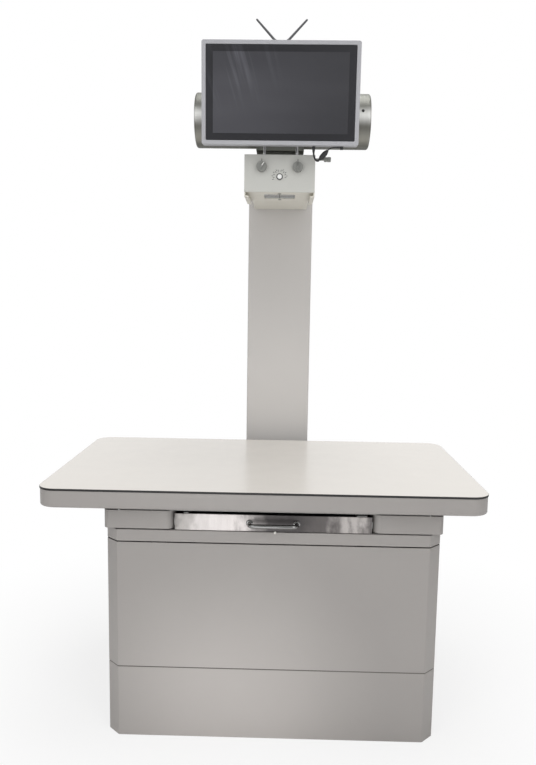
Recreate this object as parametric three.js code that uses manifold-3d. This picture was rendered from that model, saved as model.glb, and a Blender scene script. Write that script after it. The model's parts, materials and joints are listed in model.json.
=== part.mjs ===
// Radiography table: a fixed base cabinet with a floating tabletop, a detector drawer,
// and a rear column that carries an X-ray tube, a collimator and a tilting monitor.
// Millimetres, +Z up, origin on the floor under the middle of the cabinet, front towards -Y.

import * as THREE from 'three';
import { mergeVertices } from 'three/addons/utils/BufferGeometryUtils.js';
import Module from 'manifold-3d';

const wasm = await Module();
wasm.setup();

// Fits shared by all pieces
const SHEET = 2;
const SEAM = 3;
const FIT = 0.3;
const RUN = 0.5;
const OVERRUN = 1;

// Base cabinet
const BASE_WIDTH = 916;
const BASE_DEPTH = 700;
const BASE_CHAMFER = 33;
const PAN_THICKNESS = 6;
const PAN_TONGUE_WIDTH = 300;
const PAN_TONGUE_MARGIN = 12;
const PLINTH_HEIGHT = 204;
const FRONT_COVER_HEIGHT = 360;
const HEADER_HEIGHT = 34;
const COVER_RETURN = 60;
const LIP_BITE = 1;
const LIP_DEPTH = 20;
const LEDGE_DEPTH = 60;
const SHOULDER_HEIGHT = 54;
const SHOULDER_PROUD = 2;
const SHOULDER_INNER_RADIUS = 22;
const SHOULDER_OUTER_RADIUS = 14;
const UPRIGHT_THICKNESS = 3;
const UPRIGHT_OFFSET = 30;
const DECK_THICKNESS = 3;
const DECK_MARGIN = 5;
const POWER_WIDTH = 300;
const POWER_DEPTH = 220;
const POWER_HEIGHT = 200;

// Floating tabletop and its two-way carriage
const TABLE_WIDTH = 1200;
const TABLE_DEPTH = 700;
const TABLE_CORNER_RADIUS = 50;
const TABLE_REST_X = -29;
const BEAM_Y = -55;
const PANEL_THICKNESS = 6;
const APRON_HEIGHT = 46;
const APRON_WALL = 3;
const APRON_INSET = 1.5;
const APRON_FLANGE = 30;
const FIELD_WIDTH = 430;
const RAIL_WIDTH = 20;
const RAIL_HEIGHT = 11;
const RAIL_END_MARGIN = 10;
const PAD_WIDTH = 40;
const PAD_LENGTH = 60;
const PAD_GRIP = 8;
const CARRIAGE_THICKNESS = 6;
const CARRIAGE_GAP = 3.7;
const LONG_RAIL_HEIGHT = 12;
const BEAM_WIDTH = 40;

// Detector drawer
const DRAWER_RECESS = 2;
const DRAWER_FRONT_THICKNESS = 3;
const DRAWER_FRONT_HEIGHT = 46;
const DRAWER_SILL_GAP = 1;
const DRAWER_CLEARANCE = 2;
const TRAY_HEIGHT = 40;
const TRAY_REAR_ROOM = 14;
const TRAY_WALL = 1.5;
const SLIDE_WIDTH = 11;
const SLIDE_HEIGHT = 18;
const SLIDE_BACK_GAP = 20;
const DETECTOR_SIZE = 460;
const DETECTOR_SIDE_ROOM = 26;
const DETECTOR_THICKNESS = 15;
const GRID_THICKNESS = 4;
const HANDLE_SPAN = 128;
const HANDLE_RADIUS = 6;
const HANDLE_REACH = 28;
const HANDLE_BEND = 14;

// Column and cantilever arm
const COLUMN_WIDTH = 224;
const COLUMN_DEPTH = 100;
const COLUMN_WALL = 4;
const COLUMN_RADIUS = 6;
const COLUMN_GAP = 30;
const COLUMN_HEIGHT = 1641;
const CAP_THICKNESS = 4;
const CAP_SPIGOT = 20;
const BRACKET_WIDTH = 180;
const BRACKET_HEIGHT = 80;
const BRACKET_DROP = 10;
const ARM_WIDTH = 184;
const ARM_FRONT_Y = 60;
const ARM_FRONT_HEIGHT = 78;
const ARM_REAR_HEIGHT = 104;
const ARM_DROP = 10;

// X-ray tube head
const TUBE_RADIUS = 76.5;
const TUBE_WALL = 4;
const TUBE_BODY_LENGTH = 420;
const TUBE_SHIFT_X = 5;
const TUBE_CAP_LENGTH = 39.5;
const TUBE_CAP_ROUND = 7;
const CRADLE_WIDTH = 134;
const CRADLE_THICKNESS = 12;
const CRADLE_FRONT_REACH = 84;
const CRADLE_REAR_REACH = 200;
const SADDLE_GAP = 9.5;
const SADDLE_THICKNESS = 20;
const SADDLE_SPACING = 96;
const SADDLE_HALF_DEPTH = 58;
const SADDLE_RISE = 45;
const NECK_WIDTH = 132;
const NECK_DEPTH = 120;
const NECK_HEIGHT = 13;
const PORT_WIDTH = 80;
const INSERT_RADIUS = 34;
const INSERT_NECK_RADIUS = 20;
const INSERT_LENGTH = 300;
const INSERT_DISC = 6;

// Collimator
const COLLIMATOR_WIDTH = 198;
const COLLIMATOR_HEIGHT = 102;
const COLLIMATOR_DEPTH = 200;
const COLLIMATOR_WALL = 3;
const FACE_PLATE_THICKNESS = 3;
const WINDOW_WIDTH = 90;
const WINDOW_SET = 1;
const WINDOW_LIP = 6;
const WINDOW_LIP_THICKNESS = 2;
const LEAF_THICKNESS = 4;
const LEAF_REACH = 50;
const LEAF_SPAN = 160;
const LEAF_APERTURE = 60;
const MIRROR_THICKNESS = 3;
const MIRROR_LENGTH = 90;
const MIRROR_TILT = Math.PI / 4;
const LAMP_RADIUS = 8;
const LAMP_LENGTH = 28;
const ACCESSORY_RAIL_WIDTH = 12;
const ACCESSORY_RAIL_DROP = 12;
const ACCESSORY_RAIL_WALL = 3;
const ACCESSORY_RAIL_LENGTH = 180;
const KNOB_RADIUS = 14.5;
const KNOB_DEPTH = 16;
const KNOB_EDGE = 2;
const KNOB_SPACING = 101;
const KNOB_DROP = 34;
const KNOB_SHAFT_RADIUS = 3;
const KNOB_SHAFT_LENGTH = 14;
const KNOB_GRIP_WIDTH = 5;
const KNOB_GRIP_DEPTH = 5;
const BUTTON_RADIUS = 8;
const BUTTON_EDGE = 1;
const BUTTON_STANDOFF = 5;
const BUTTON_FLANGE_RADIUS = 10.5;
const BUTTON_FLANGE = 2;
const BUTTON_DROP = 60;
const LOCK_SHAFT_RADIUS = 3;
const LOCK_SHAFT_LENGTH = 26;
const LOCK_SHAFT_INNER = 5;
const LOCK_KNOB_RADIUS = 7;
const LOCK_KNOB_LENGTH = 19;
const LOCK_KNOB_SETBACK = 35;
const LOCK_KNOB_DROP = 6;

// Monitor with its tilt hinge
const MONITOR_WIDTH = 423;
const MONITOR_HEIGHT = 266;
const MONITOR_RADIUS = 6;
const MONITOR_TILT = 0.048;
const MONITOR_RISE = 135;
const HINGE_REACH = 33;
const HINGE_TO_FACE = 58;
const BEZEL_DEPTH = 8;
const BEZEL_SIDE = 11;
const BEZEL_LIP = 8;
const GLASS_THICKNESS = 3;
const GLASS_SINK = 0.5;
const BACK_DEPTH = 22;
const PIN_RADIUS = 5;
const LUG_RADIUS = 12;
const LUG_THICKNESS = 9;
const LUG_SPACING = 80;
const PIN_OVERHANG = 3;
const BRACKET_PLATE = 4;
const MONITOR_BRACKET_WIDTH = 120;
const MONITOR_BRACKET_RISE = 60;
const BRACKET_TOE = 24;
const BRACKET_TOE_THICKNESS = 3;

// Fold-down antennas on the monitor
const ANTENNA_SPACING = 13;
const ANTENNA_PIVOT_DROP = 2;
const ANTENNA_LENGTH = 90;
const ANTENNA_RADIUS = 3;
const ANTENNA_KNUCKLE_RADIUS = 5.5;
const ANTENNA_KNUCKLE_LENGTH = 9;
const ANTENNA_BOSS_LENGTH = 8;
const ANTENNA_SPREAD = THREE.MathUtils.degToRad(43.5);

// Short lead under the monitor with its in-line suppressor bead
const LEAD_RADIUS = 2.5;
const THIN_LEAD_RADIUS = 1.5;
const GLAND_X = 92;
const GLAND_RADIUS = 4.5;
const GLAND_TIP_RADIUS = 3;
const GLAND_LENGTH = 16;
const SOCKET_X = 168;
const SOCKET_SIZE = 8;
const BEAD_RADIUS = 7;
const BEAD_END_RADIUS = 3.5;
const BEAD_LENGTH = 34;
const BEAD_TAPER = 11;
const LEAD_REACH = 32;
const BEAD_START = [107.5, -170.5];
const BEAD_SLOPE = THREE.MathUtils.degToRad(48);
// Each point is an x and a height from the middle of the monitor.
const LEAD_POINTS = [
  [92.1, -151.2],
  [92.4, -156.4],
  [93.8, -162.0],
  [96.6, -168.2],
  [101.2, -172.4],
  [104.6, -172.7],
  [106.9, -171.2],
];
const THIN_LEAD_POINTS = [
  [130.7, -144.7],
  [135.4, -140.6],
  [142.0, -137.7],
  [150.0, -136.6],
  [158.0, -136.8],
  [163.6, -136.9],
];

// Sides and steps of the round shapes
const CORNER_STEPS = 6;
const BEND_STEPS = 4;
const RIM_STEPS = 3;
const TUBE_SIDES = 36;
const ROUND_SIDES = 20;
const SMALL_SIDES = 16;
const THIN_SIDES = 10;
const LEAD_SIDES = 8;
const LEAD_STEPS = 10;
const HANDLE_STEPS = 24;

// Heights and places that follow from the driving sizes
const BASE_HALF = BASE_WIDTH / 2;
const FRONT_Y = -BASE_DEPTH / 2;
const REAR_Y = BASE_DEPTH / 2;
const COLUMN_FRONT_Y = REAR_Y + COLUMN_GAP;
const PAN_TOP = PAN_THICKNESS;
const PLINTH_SEAM_Z = PLINTH_HEIGHT;
const COVER_SEAM_Z = PLINTH_SEAM_Z + FRONT_COVER_HEIGHT;
const LEDGE_Z = COVER_SEAM_Z + HEADER_HEIGHT;
const DECK_Z = LEDGE_Z + SHOULDER_HEIGHT;
const TRAY_HALF = DETECTOR_SIZE / 2 + DETECTOR_SIDE_ROOM + TRAY_WALL;
const SLIDE_OUTER_X = TRAY_HALF + FIT + SLIDE_WIDTH;
const BAY_HALF = SLIDE_OUTER_X + FIT;
const RAIL_Z = DECK_Z + DECK_THICKNESS;
const RAIL_TOP = RAIL_Z + RAIL_HEIGHT;
const RAIL_X = FIELD_WIDTH / 2 + PAD_WIDTH / 2;
const CARRIAGE_Z = RAIL_TOP + FIT + CARRIAGE_GAP;
const CARRIAGE_TOP = CARRIAGE_Z + CARRIAGE_THICKNESS;
const LONG_RAIL_Z = CARRIAGE_TOP + CARRIAGE_GAP;
const LONG_RAIL_OFFSET = FIELD_WIDTH / 2 + BEAM_WIDTH / 2 + RUN;
const BEAM_Z = LONG_RAIL_Z + LONG_RAIL_HEIGHT;
const APRON_Z = CARRIAGE_Z;
const PANEL_Z = APRON_Z + APRON_HEIGHT;
const ARM_TOP_Z = PAN_TOP + COLUMN_HEIGHT - ARM_DROP;
const MONITOR_CENTRE_Z = ARM_TOP_Z + MONITOR_RISE;
const TUBE_Z = ARM_TOP_Z + CRADLE_THICKNESS + SADDLE_GAP + TUBE_RADIUS;
const NECK_Z = ARM_TOP_Z - NECK_HEIGHT;
const COLLIMATOR_TOP = NECK_Z - FIT;
const COLLIMATOR_Z = COLLIMATOR_TOP - COLLIMATOR_HEIGHT;
const COLLIMATOR_HALF = COLLIMATOR_WIDTH / 2;
const FACE_Y = BEAM_Y - COLLIMATOR_DEPTH / 2;
const FACE_BACK_Y = FACE_Y + FACE_PLATE_THICKNESS;
const COLLIMATOR_REAR_Y = BEAM_Y + COLLIMATOR_DEPTH / 2;
const CRADLE_FRONT_Y = BEAM_Y - CRADLE_FRONT_REACH;
const HINGE_Y = CRADLE_FRONT_Y - HINGE_REACH;
const LEAD_Y = HINGE_Y - LEAD_REACH;
const DRAWER_FACE_Y = FRONT_Y + DRAWER_RECESS;
const TRAY_Z = LEDGE_Z + DRAWER_CLEARANCE + DRAWER_CLEARANCE;
const TRAY_FRONT_Y = DRAWER_FACE_Y + DRAWER_FRONT_THICKNESS + FIT;
const TRAY_REAR_Y = BEAM_Y + DETECTOR_SIZE / 2 + TRAY_REAR_ROOM + TRAY_WALL;

// Finishes
const GREY_PAINT = { color: 0xaaa6a1, roughness: 0.5, metalness: 0.1 };
const COLUMN_PAINT = { color: 0xb8b4af, roughness: 0.5, metalness: 0.1 };
const PALE_PAINT = { color: 0xc1c1bb, roughness: 0.45, metalness: 0.1 };
const WHITE_LAMINATE = { color: 0xe1ddd7, roughness: 0.3, metalness: 0 };
const STAINLESS = { color: 0xc4c2be, roughness: 0.3, metalness: 1 };
const CHROME = { color: 0xd8d8d8, roughness: 0.12, metalness: 1 };
const ZINC = { color: 0x9a9a98, roughness: 0.45, metalness: 0.9 };
const DARK_STEEL = { color: 0x3a3a3b, roughness: 0.55, metalness: 0.6 };
const LEAD_GREY = { color: 0x55585c, roughness: 0.6, metalness: 0.7 };
const SILVER_FRAME = { color: 0xb7b7bc, roughness: 0.4, metalness: 0.6 };
const DARK_GLASS = { color: 0x34353a, roughness: 0.08, metalness: 0 };
const CLEAR_GLASS = { color: 0xd9e2e4, roughness: 0.05, metalness: 0 };
const BLACK_RUBBER = { color: 0x222222, roughness: 0.7, metalness: 0 };
const GREY_PLASTIC = { color: 0x8f908c, roughness: 0.5, metalness: 0 };
const WHITE_PLASTIC = { color: 0xf0f0ee, roughness: 0.35, metalness: 0 };

const table = new THREE.Group();
table.name = 'radiography_table';

// Leaves only welded positions, drops empty triangles and turns the faces outward.
function weld(geometry) {
  const plain = geometry.clone();
  plain.deleteAttribute('normal');
  plain.deleteAttribute('uv');
  const merged = mergeVertices(plain, 1e-4);
  const position = merged.getAttribute('position');
  const corner = [new THREE.Vector3(), new THREE.Vector3(), new THREE.Vector3()];
  const faces = [];
  let volume = 0;
  for (let i = 0; i < merged.index.count; i += 3) {
    const ids = [0, 1, 2].map((k) => merged.index.getX(i + k));
    if (new Set(ids).size < 3) continue;
    ids.forEach((id, k) => corner[k].fromBufferAttribute(position, id));
    volume += corner[0].dot(corner[1].clone().cross(corner[2]));
    faces.push(ids);
  }
  merged.setIndex(faces.flatMap(([a, b, c]) => (volume < 0 ? [a, c, b] : [a, b, c])));
  return merged;
}

function toSolid(geometry) {
  const welded = weld(geometry);
  const vertProperties = new Float32Array(welded.getAttribute('position').array);
  const triVerts = new Uint32Array(welded.index.array);
  return new wasm.Manifold(new wasm.Mesh({ numProp: 3, vertProperties, triVerts }));
}

function toGeometry(solid) {
  const mesh = solid.getMesh();
  const geometry = new THREE.BufferGeometry();
  geometry.setAttribute('position', new THREE.BufferAttribute(mesh.vertProperties, 3));
  geometry.setIndex(new THREE.BufferAttribute(mesh.triVerts, 1));
  return geometry;
}

function join(first, ...others) {
  return toGeometry(others.reduce((sum, other) => sum.add(toSolid(other)), toSolid(first)));
}

function cut(first, ...others) {
  return toGeometry(others.reduce((rest, other) => rest.subtract(toSolid(other)), toSolid(first)));
}

// A box between two limits on each axis.
function slab(x0, x1, y0, y1, z0, z1) {
  const box = new THREE.BoxGeometry(x1 - x0, y1 - y0, z1 - z0);
  return box.translate((x0 + x1) / 2, (y0 + y1) / 2, (z0 + z1) / 2);
}

// A box centred on x = 0.
function centred(width, y0, y1, z0, z1) {
  return slab(-width / 2, width / 2, y0, y1, z0, z1);
}

// A plan outline raised from z0 to z1.
function prism(outline, z0, z1, curveSegments = BEND_STEPS) {
  const options = { depth: z1 - z0, bevelEnabled: false, curveSegments };
  return new THREE.ExtrudeGeometry(outline, options).translate(0, 0, z0);
}

function polygon(points) {
  return new THREE.Shape(points.map(([x, y]) => new THREE.Vector2(x, y)));
}

// A rectangle with one radius each for front left, front right, rear right and rear left.
function roundedRectangle(x0, x1, y0, y1, radii, path = new THREE.Shape()) {
  const [frontLeft, frontRight, rearRight, rearLeft] = radii;
  const corner = (x, y, radius, start) => {
    if (radius > 0) path.absarc(x, y, radius, start, start + Math.PI / 2, false);
    else path.lineTo(x, y);
  };
  path.moveTo(x0 + frontLeft, y0);
  corner(x1 - frontRight, y0 + frontRight, frontRight, -Math.PI / 2);
  corner(x1 - rearRight, y1 - rearRight, rearRight, 0);
  corner(x0 + rearLeft, y1 - rearLeft, rearLeft, Math.PI / 2);
  corner(x0 + frontLeft, y0 + frontLeft, frontLeft, Math.PI);
  return path;
}

// The same rectangle as a wall of even thickness.
function rectangleWall(x0, x1, y0, y1, radii, wall) {
  const shape = roundedRectangle(x0, x1, y0, y1, radii);
  const inner = radii.map((radius) => Math.max(radius - wall, 0));
  const hole = new THREE.Path();
  roundedRectangle(x0 + wall, x1 - wall, y0 + wall, y1 - wall, inner, hole);
  shape.holes.push(hole);
  return shape;
}

// A closed profile of [radius, height] points turned about an axis through the origin.
const TURN = { x: [0, 0, -Math.PI / 2], y: [0, 0, 0], z: [Math.PI / 2, 0, 0] };

function turned(profile, axis, segments) {
  const points = profile.map(([radius, height]) => new THREE.Vector2(radius, height));
  const lathe = new THREE.LatheGeometry(points, segments);
  const [x, y, z] = TURN[axis];
  return weld(lathe).rotateX(x).rotateY(y).rotateZ(z);
}

function rod(radius, from, to, axis, segments = ROUND_SIDES) {
  return turned([[0, from], [radius, from], [radius, to], [0, to]], axis, segments);
}

function part(name, geometry, finish, parent = table) {
  const mesh = new THREE.Mesh(weld(geometry), new THREE.MeshStandardMaterial(finish));
  mesh.name = name;
  parent.add(mesh);
  return mesh;
}

const SIDES = [['left', -1], ['right', 1]];

// Limits of a slab on one side, given for the right-hand side.
function sided(side, inner, outer) {
  return side > 0 ? [inner, outer] : [-outer, -inner];
}

// The cabinet's chamfered front outline, moved inward by an offset, from side to side.
function frontOutline(offset, rear) {
  const x = BASE_HALF - offset;
  const y = FRONT_Y + offset;
  const chamfer = BASE_CHAMFER - offset * (2 - Math.SQRT2);
  const left = [[-x, rear], [-x, y + chamfer], [-x + chamfer, y]];
  const right = [[x - chamfer, y], [x, y + chamfer], [x, rear]];
  return [...left, ...right];
}

// A sheet cover that wraps round the cabinet's front.
function frontWrap(z0, z1) {
  const rear = FRONT_Y + COVER_RETURN;
  const outline = [...frontOutline(0, rear), ...frontOutline(SHEET, rear).reverse()];
  return prism(polygon(outline), z0, z1);
}

function addCabinet() {
  const clear = SHEET + FIT;
  const tongue = PAN_TONGUE_WIDTH / 2;
  const tongueRear = COLUMN_FRONT_Y + COLUMN_DEPTH + PAN_TONGUE_MARGIN;
  const pan = [
    ...frontOutline(clear, REAR_Y),
    [tongue, REAR_Y],
    [tongue, tongueRear],
    [-tongue, tongueRear],
    [-tongue, REAR_Y],
  ];
  part('base_pan', prism(polygon(pan), 0, PAN_TOP), ZINC);

  // The front cover stands on a set-back lip along the top of the plinth.
  const lipRear = FRONT_Y + COVER_RETURN;
  const lipFace = frontOutline(SHEET - LIP_BITE, lipRear);
  const lip = [...lipFace, ...frontOutline(2 * SHEET, lipRear).reverse()];
  const plinthLip = prism(polygon(lip), PLINTH_SEAM_Z - LIP_DEPTH, PLINTH_SEAM_Z + SEAM / 2 - FIT);
  part('plinth_cover', join(frontWrap(0, PLINTH_SEAM_Z - SEAM / 2), plinthLip), GREY_PAINT);
  part('front_cover', frontWrap(PLINTH_SEAM_Z + SEAM / 2, COVER_SEAM_Z - SEAM / 2), GREY_PAINT);
  const ledge = prism(polygon(frontOutline(0, FRONT_Y + LEDGE_DEPTH)), LEDGE_Z - SHEET, LEDGE_Z);
  part('header_band', join(frontWrap(COVER_SEAM_Z + SEAM / 2, LEDGE_Z), ledge), GREY_PAINT);

  const sideFront = FRONT_Y + Math.max(COVER_RETURN, LEDGE_DEPTH) + SEAM;
  for (const [name, side] of SIDES) {
    const [x0, x1] = sided(side, BASE_HALF - SHEET, BASE_HALF);
    part(`${name}_side_cover`, slab(x0, x1, sideFront, REAR_Y, 0, LEDGE_Z), GREY_PAINT);
  }
  const rearHalf = BASE_HALF - SHEET - FIT;
  const tab = BAY_HALF - FIT;
  const rearOutline = [
    [-rearHalf, PAN_TOP],
    [rearHalf, PAN_TOP],
    [rearHalf, LEDGE_Z],
    [tab, LEDGE_Z],
    [tab, DECK_Z],
    [-tab, DECK_Z],
    [-tab, LEDGE_Z],
    [-rearHalf, LEDGE_Z],
  ];
  const rear = prism(polygon(rearOutline), 0, SHEET).rotateX(Math.PI / 2);
  part('rear_cover', rear.translate(0, REAR_Y, 0), GREY_PAINT);

  for (const [name, side] of SIDES) {
    const [x0, x1] = sided(side, BAY_HALF, BASE_HALF + SHOULDER_PROUD);
    const front = [SHOULDER_OUTER_RADIUS, SHOULDER_INNER_RADIUS];
    const radii = [...(side > 0 ? front.reverse() : front), 0, 0];
    const wall = rectangleWall(x0, x1, FRONT_Y, REAR_Y, radii, SHEET);
    part(`${name}_shoulder_cover`, prism(wall, LEDGE_Z + SEAM, DECK_Z, CORNER_STEPS), GREY_PAINT);
  }
  for (const [name, side] of SIDES) {
    const inner = BAY_HALF + UPRIGHT_OFFSET;
    const [x0, x1] = sided(side, inner, inner + UPRIGHT_THICKNESS);
    const upright = slab(x0, x1, FRONT_Y + LEDGE_DEPTH + FIT, REAR_Y - SHEET - FIT, PAN_TOP, DECK_Z);
    part(`${name}_upright`, upright, ZINC);
  }

  const power = centred(POWER_WIDTH, -POWER_DEPTH / 2, POWER_DEPTH / 2, PAN_TOP, PAN_TOP + POWER_HEIGHT);
  part('power_unit', power, ZINC);

  const deck = prism(polygon(frontOutline(DECK_MARGIN, REAR_Y - DECK_MARGIN)), DECK_Z, RAIL_Z);
  const field = FIELD_WIDTH / 2;
  const window = centred(FIELD_WIDTH, BEAM_Y - field, BEAM_Y + field, DECK_Z - OVERRUN, RAIL_Z + OVERRUN);
  part('deck_plate', cut(deck, window), ZINC);
}

function addCrossRails() {
  const y0 = FRONT_Y + RAIL_END_MARGIN;
  const y1 = REAR_Y - RAIL_END_MARGIN;
  for (const [name, side] of SIDES) {
    const [x0, x1] = sided(side, RAIL_X - RAIL_WIDTH / 2, RAIL_X + RAIL_WIDTH / 2);
    part(`cross_rail_${name}`, slab(x0, x1, y0, y1, RAIL_Z, RAIL_TOP), STAINLESS);
  }
}

// An open frame that rolls front to back on the cross rails and holds the long rails above.
function addCarriage() {
  const groove = RAIL_WIDTH / 2 + RUN;
  const field = FIELD_WIDTH / 2;
  const halfX = RAIL_X + PAD_WIDTH / 2;
  const halfY = LONG_RAIL_OFFSET + PAD_WIDTH / 2;
  const plate = centred(2 * halfX, BEAM_Y - halfY, BEAM_Y + halfY, CARRIAGE_Z, CARRIAGE_TOP);
  const window = centred(FIELD_WIDTH, BEAM_Y - field, BEAM_Y + field, CARRIAGE_Z - OVERRUN,
    CARRIAGE_TOP + OVERRUN);
  const pads = [];
  const grooves = [];
  for (const [, side] of SIDES) {
    const x = side * RAIL_X;
    for (const [, end] of SIDES) {
      const padY = BEAM_Y + end * (field - PAD_LENGTH / 2);
      const low = RAIL_TOP - PAD_GRIP;
      pads.push(slab(x - PAD_WIDTH / 2, x + PAD_WIDTH / 2, padY - PAD_LENGTH / 2, padY + PAD_LENGTH / 2,
        low, CARRIAGE_Z + OVERRUN));
      const railY = BEAM_Y + end * LONG_RAIL_OFFSET;
      pads.push(slab(x - PAD_LENGTH / 2, x + PAD_LENGTH / 2, railY - PAD_WIDTH / 2, railY + PAD_WIDTH / 2,
        CARRIAGE_TOP - OVERRUN, LONG_RAIL_Z + PAD_GRIP));
      grooves.push(slab(x - PAD_LENGTH, x + PAD_LENGTH, railY - groove, railY + groove,
        LONG_RAIL_Z - FIT, LONG_RAIL_Z + 2 * PAD_GRIP));
    }
    grooves.push(slab(x - groove, x + groove, BEAM_Y - field - OVERRUN, BEAM_Y + field + OVERRUN,
      RAIL_TOP - 2 * PAD_GRIP, RAIL_TOP + FIT));
  }
  const frame = cut(plate, window);
  part('cross_carriage', cut(join(frame, ...pads), ...grooves), ZINC);
}

function addTabletop() {
  const x0 = TABLE_REST_X - TABLE_WIDTH / 2;
  const x1 = TABLE_REST_X + TABLE_WIDTH / 2;
  const y0 = BEAM_Y - TABLE_DEPTH / 2;
  const y1 = BEAM_Y + TABLE_DEPTH / 2;
  const even = (radius) => [radius, radius, radius, radius];
  const top = roundedRectangle(x0, x1, y0, y1, even(TABLE_CORNER_RADIUS));
  part('tabletop_panel', prism(top, PANEL_Z, PANEL_Z + PANEL_THICKNESS, CORNER_STEPS), WHITE_LAMINATE);

  const shrunk = (by) => {
    const radii = even(TABLE_CORNER_RADIUS - by);
    return roundedRectangle(x0 + by, x1 - by, y0 + by, y1 - by, radii);
  };
  const inner = APRON_INSET + APRON_WALL;
  const blank = prism(shrunk(APRON_INSET), APRON_Z, PANEL_Z, CORNER_STEPS);
  const hollow = prism(shrunk(inner), APRON_Z + APRON_WALL, PANEL_Z + OVERRUN, CORNER_STEPS);
  const opening = prism(shrunk(APRON_INSET + APRON_FLANGE), APRON_Z - OVERRUN, PANEL_Z, CORNER_STEPS);
  const reach = APRON_INSET + APRON_WALL / 2;
  const members = [];
  for (const [, end] of SIDES) {
    const y = BEAM_Y + end * LONG_RAIL_OFFSET;
    members.push(slab(x0 + reach, x1 - reach, y - BEAM_WIDTH / 2, y + BEAM_WIDTH / 2, BEAM_Z, PANEL_Z));
    members.push(slab(x0 + APRON_FLANGE, x1 - APRON_FLANGE, y - RAIL_WIDTH / 2, y + RAIL_WIDTH / 2,
      LONG_RAIL_Z, BEAM_Z + OVERRUN));
  }
  part('tabletop_frame', join(cut(blank, hollow, opening), ...members), GREY_PAINT);
}

// A round bow handle with two straight legs and quarter bends.
function bowHandle() {
  const half = HANDLE_SPAN / 2;
  const straight = HANDLE_REACH - HANDLE_BEND;
  const path = new THREE.CurvePath();
  const at = (x, y) => new THREE.Vector3(x, y, 0);
  path.add(new THREE.LineCurve3(at(-half, 0), at(-half, -straight)));
  path.add(new THREE.QuadraticBezierCurve3(at(-half, -straight), at(-half, -HANDLE_REACH),
    at(-half + HANDLE_BEND, -HANDLE_REACH)));
  const bar = half - HANDLE_BEND;
  path.add(new THREE.LineCurve3(at(-bar, -HANDLE_REACH), at(bar, -HANDLE_REACH)));
  path.add(new THREE.QuadraticBezierCurve3(at(bar, -HANDLE_REACH), at(half, -HANDLE_REACH),
    at(half, -straight)));
  path.add(new THREE.LineCurve3(at(half, -straight), at(half, 0)));
  return tube(path, HANDLE_RADIUS, HANDLE_STEPS, THIN_SIDES);
}

function tube(path, radius, steps, sides) {
  const section = new THREE.Shape();
  for (let i = 0; i < sides; i += 1) {
    const angle = (2 * Math.PI * i) / sides;
    const x = radius * Math.cos(angle);
    const y = radius * Math.sin(angle);
    if (i === 0) section.moveTo(x, y);
    else section.lineTo(x, y);
  }
  section.closePath();
  return new THREE.ExtrudeGeometry(section, { steps, extrudePath: path, bevelEnabled: false });
}

function addDrawer() {
  const frontHalf = BAY_HALF - DRAWER_CLEARANCE;
  const frontZ = LEDGE_Z + DRAWER_SILL_GAP;
  const front = slab(-frontHalf, frontHalf, DRAWER_FACE_Y, DRAWER_FACE_Y + DRAWER_FRONT_THICKNESS,
    frontZ, frontZ + DRAWER_FRONT_HEIGHT);
  part('drawer_front', front, STAINLESS);
  const handle = bowHandle().translate(0, DRAWER_FACE_Y - FIT, frontZ + DRAWER_FRONT_HEIGHT / 2);
  part('drawer_handle', handle, CHROME);

  const tray = centred(2 * TRAY_HALF, TRAY_FRONT_Y, TRAY_REAR_Y, TRAY_Z, TRAY_Z + TRAY_HEIGHT);
  const inside = centred(2 * (TRAY_HALF - TRAY_WALL), TRAY_FRONT_Y + TRAY_WALL, TRAY_REAR_Y - TRAY_WALL,
    TRAY_Z + TRAY_WALL, TRAY_Z + TRAY_HEIGHT + OVERRUN);
  part('detector_tray', cut(tray, inside), STAINLESS);

  const half = DETECTOR_SIZE / 2;
  const detectorZ = TRAY_Z + TRAY_WALL;
  const gridZ = detectorZ + DETECTOR_THICKNESS;
  const plate = (z0, z1) => centred(DETECTOR_SIZE, BEAM_Y - half, BEAM_Y + half, z0, z1);
  part('flat_panel_detector', plate(detectorZ, gridZ), DARK_STEEL);
  part('anti_scatter_grid', plate(gridZ, gridZ + GRID_THICKNESS), LEAD_GREY);

  const slideZ = TRAY_Z + (TRAY_HEIGHT - SLIDE_HEIGHT) / 2;
  for (const [name, side] of SIDES) {
    const [x0, x1] = sided(side, SLIDE_OUTER_X - SLIDE_WIDTH, SLIDE_OUTER_X);
    const slideRear = REAR_Y - SHEET - SLIDE_BACK_GAP;
    const slide = slab(x0, x1, TRAY_FRONT_Y, slideRear, slideZ, slideZ + SLIDE_HEIGHT);
    part(`drawer_slide_${name}`, slide, ZINC);
  }
}

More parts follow.
